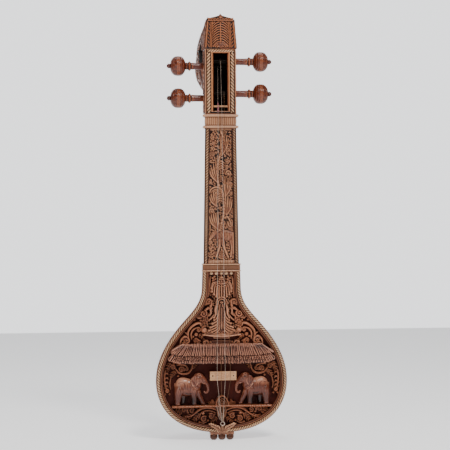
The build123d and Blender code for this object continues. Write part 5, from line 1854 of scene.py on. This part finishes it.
nut_low, nut_high = node_box("nut")
nut_rings = []
for x in np.linspace(nut_low[0], nut_high[0], 80):
    dip = sum(0.9 * max(0.0, 1 - abs(x - places[1]) / 0.8) for places in STRING_PATHS.values())
    belly = 1.0 * (x / nut_high[0]) ** 2
    front = nut_low[1] + 0.05 + belly
    rise = nut_low[2] + 0.5, nut_high[2] - 0.3
    nut_rings.append([
        (x, nut_high[1], nut_low[2]), (x, front + 1.6, nut_low[2]), (x, front + 0.4, rise[0]),
        (x, front, (rise[0] + rise[1]) / 2),
        (x, front + 0.5, rise[1] - dip * 0.5), (x, front + 1.8 + dip, nut_high[2]),
        (x, nut_high[1], nut_high[2]),
    ])
make_piece(
    "bone_nut", *ring_mesh(np.array(nut_rings)), BONE, "bone", replaces=["nut"],
    tone=np.full(len(nut_rings) * 7, 0.62)
)

loop_low, loop_high = node_box("tail_loop")
LOOP_Z, LOOP_Y = (loop_low[2] + loop_high[2]) / 2, (loop_low[1] + loop_high[1]) / 2
STRING_RADIUS, STRING_OFF = 0.47, 0.5
for name, (bridge_x, collar_x, peg_x, peg) in STRING_PATHS.items():
    side, peg_z, peg_y = PEG_PLACES[peg]
    wound = float(shaft_radius(peg_x * side)) + 1.1
    path = [
        (bridge_x * 0.12, loop_low[1] - STRING_OFF, LOOP_Z + 5.0),
        (bridge_x, plate_low[1] - STRING_OFF, plate_low[2]),
        (bridge_x, plate_low[1] - STRING_OFF, plate_high[2]),
        (collar_x, upper_low[1] - STRING_OFF - 0.3, upper_high[2] - 5),
        (collar_x, nut_low[1] - STRING_OFF, nut_high[2]),
        (peg_x, peg_y - wound - 0.85, peg_z),
    ]
    run = []
    for start, end in zip(path, path[1:]):
        run += [
            np.array(start) + (np.array(end) - np.array(start)) * t
            for t in np.linspace(0, 1, 24, endpoint=False)
        ]
    run.append(np.array(path[-1]))
    material, metal_name = (STEEL, "steel_string") if name in ("string_1", "string_3") else (
        BRONZE, "bronze_string"
    )
    parts = [tube(run, STRING_RADIUS, 8)]
    twist = [
        (
            path[0][0] + 0.9 * math.cos(a), path[0][1] - 0.4 + 0.9 * math.sin(a),
            LOOP_Z + 6 + 2.2 * a / math.pi
        )
        for a in np.linspace(0, 10 * math.pi, 70)
    ]
    parts.append(tube(twist, 0.35, 6))
    make_piece(
        f"wire_{name}", *joined(parts), material, metal_name, replaces=[name],
        tone=np.full(sum(len(p[0]) for p in parts), 0.5)
    )

ends = [
    tube(curve([(-2, -19.5, 50), (-6, -20.5, 62), (-12, -19, 76), (-15, -17.5, 88)], 10), 0.45, 8),
    tube(
        curve(
            [
                (-1, -19.5, 50), (-9, -21, 58), (-11, -21, 70), (-9, -19, 82), (-10.5, -17.5, 104),
                (-11.5, -16.5, 116)
            ],
            10
        ),
        0.4, 8
    ),
    tube(curve([(2, -19.5, 50), (4, -21, 60), (2, -21, 72), (5, -19, 80)], 10), 0.4, 8),
]
make_piece("loose_wire_ends", *joined(ends), STEEL, "steel_string")

turn = np.linspace(0, 2 * np.pi, 49)
ring_path = np.stack([5.0 * np.cos(turn), np.full(49, LOOP_Y), LOOP_Z + 5.0 * np.sin(turn)], axis=1)
make_piece("tail_ring", *tube(ring_path, 1.3, 14), STEEL, "steel_string", replaces=["tail_loop"])

tie = []
for k, z in enumerate((851.5, 853.6, 855.9)):
    loop = [
        (-7 + 1.6 * math.cos(a), -8.6 + 1.0 * math.sin(a), z + 0.6 * math.sin(2 * a))
        for a in np.linspace(0, 2 * math.pi, 25)
    ]
    tie.append(tube(loop, 0.7, 8))
tie.append(
    tube(curve([(-7.2, -9.4, 856), (-6.4, -9.0, 862), (-7.2, -8.2, 868), (-7.8, -8.4, 874)], 10), 0.9, 8)
)
tie.append(tube(curve([(-6.6, -9.4, 856), (-7.8, -9.2, 861), (-6.0, -8.4, 866)], 10), 0.7, 8))
make_piece("thread_tie", *joined(tie), THREAD, None)


def tail_leaf():
    """The spread leaf that hides the string holder at the tail."""
    low, high = node_box("tail_leaf")
    r = Relief((low[0] - 1, low[2] - 1), (high[0] + 1, high[2] + 1), 0.4)
    for side in (-1, 1):
        r.stroke(
            [(side * 3, 24), (side * 14, 33), (side * 26, 39), (side * 35, 43)], [4.5, 5.5, 4.5, 1.2],
            [4.4, 4.8, 4.0, 2.4]
        )
        for k in range(5):
            root = (side * (5 + 5 * k), 27 + 3.1 * k)
            r.stroke(
                [
                    root, (root[0] + side * 4, root[1] + 7 - 0.8 * k),
                    (root[0] + side * 6, root[1] + 11 - 1.6 * k)
                ],
                [1.8, 2.8, 1.0], [4.4, 4.8, 3.2]
            )
        r.cut([[(side * 4, 26), (side * 15, 34), (side * 27, 40)]], 0.7, 1.2)
        r.volute((side * 10, 24), 3.6, 90, 1.1, 1.5, 4.6, -side)
    r.stroke([(0, 21), (0, 30), (0, 38)], [4, 5, 2], [4.4, 4.8, 3.4])
    r.cut([[(0, 22), (0, 37)], [(-3, 24), (-3, 34)], [(3, 24), (3, 34)]], 0.6, 1.0)
    r.h = np.where(r.h > 0.3, np.maximum(r.h, 1.4), r.h)
    r.build("tail_palmette", on_face(high[1]), LIGHT, slot="light_wood", replaces=["tail_leaf"], depth=8.6)


tail_leaf()

beads = []
for x in (-26, -13, 0, 13, 26):
    profile = [
        (0, 0), (0.15, 1.4), (0.6, 2.8), (1.6, 3.7), (3.2, 4.0), (5.0, 3.6), (6.0, 2.9), (6.6, 3.1),
        (7.2, 2.6), (8.2, 2.0), (11.5, 2.0)
    ]
    beads.append(lathe(profile, (x, -8.0, 432.5), (0, 1, 0), 32))
bead_mesh = joined(beads)
# The tone is a painted highlight that grows towards each stud's front tip.
make_piece(
    "bead_studs", *bead_mesh, ROPE, "light_wood", replaces=["bead_row"],
    tone=np.clip(-bead_mesh[0][:, 1] / 6 - 0.1, 0, 0.95)
)


# ---------------------------------------------------------------- looks of the CAD nodes that stay
CAD_LOOKS = {
    "bowl_shell": BOWL, "neck_shell": BOWL, "pegbox": PEGBOX, "soundboard": BOARD, "neck_board": BOARD,
    "soundboard_braces": INSIDE, "end_block": INSIDE, "neck_tenon": INSIDE, "head_tenon": INSIDE,
    "bridge_base": PLAIN, "foot_block": PLAIN,
}
for node, material in CAD_LOOKS.items():
    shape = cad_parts[node]
    for holder in shape.material_slots:
        holder.material = material
    layer = shape.data.attributes.new("tone", "FLOAT", "POINT")
    layer.data.foreach_set("value", np.full(len(shape.data.vertices), 0.5, np.float32))


# ---------------------------------------------------------------- floor, lights and camera
COOL_WHITE = (0.97, 0.98, 1.0, 1)


def area(name, place, target, size, power, colour):
    light = bpy.data.lights.new(name, "AREA")
    light.shape, light.size, light.energy, light.color = "DISK", size, power, colour
    holder = new_object(name, light)
    holder.location = place
    holder.rotation_euler = (Vector(target) - Vector(place)).to_track_quat("-Z", "Y").to_euler()


floor_mesh = bpy.data.meshes.new("floor")
floor_mesh.from_pydata([(-4, -5, 0), (4, -5, 0), (4, 4, 0), (-4, 4, 0)], [], [(0, 1, 2, 3)])
floor = new_object("floor", floor_mesh)
pale = bpy.data.materials.new("pale_floor")
pale.use_nodes = True
glow = pale.node_tree.nodes["Principled BSDF"].inputs
glow["Base Color"].default_value = (0.9, 0.9, 0.9, 1)
glow["Roughness"].default_value = 0.8
glow["Emission Color"].default_value = COOL_WHITE
glow["Emission Strength"].default_value = 0.75
floor_mesh.materials.append(pale)

area("key", (0.7, -2.1, 2.9), (0, 0, 0.5), 0.8, 72, (1.0, 0.96, 0.91))
area("fill", (-2.0, -2.6, 0.9), (0, 0, 0.5), 1.2, 22, (1.0, 0.97, 0.94))
area("top", (-0.2, 0.4, 2.9), (0, 0, 0.7), 1.4, 22, (1.0, 1.0, 1.0))
world = bpy.data.worlds.new("studio")
world.use_nodes = True
sky = world.node_tree
facing = sky.nodes.new("ShaderNodeSeparateXYZ")
sky.links.new(sky.nodes.new("ShaderNodeTexCoord").outputs["Generated"], facing.inputs[0])
dome = sky.nodes.new("ShaderNodeMapRange")
dome.interpolation_type = "SMOOTHSTEP"
sky.links.new(facing.outputs["Y"], dome.inputs["Value"])
for key, value in (("From Min", 0.7), ("From Max", 0.97), ("To Min", 0.2), ("To Max", 1.9)):
    dome.inputs[key].default_value = value
sky.links.new(dome.outputs["Result"], sky.nodes["Background"].inputs["Strength"])
sky.nodes["Background"].inputs["Color"].default_value = COOL_WHITE
bpy.context.scene.world = world

TURN = math.radians(-7.0)
DISTANCE, LOOK_AT, ROLL = 3.9, Vector((0.0107, 0.0, 0.5577)), math.radians(0.26)
lens = bpy.data.cameras.new("photo_view")
lens.sensor_width, lens.lens = 36.0, 120.0
camera = new_object("photo_view", lens)
camera.location = LOOK_AT + Vector((math.sin(TURN), -math.cos(TURN), 0)) * DISTANCE
aim = (LOOK_AT - camera.location).to_track_quat("-Z", "Y")
camera.rotation_euler = (aim @ Quaternion((0, 0, 1), -ROLL)).to_euler()
bpy.context.scene.camera = camera
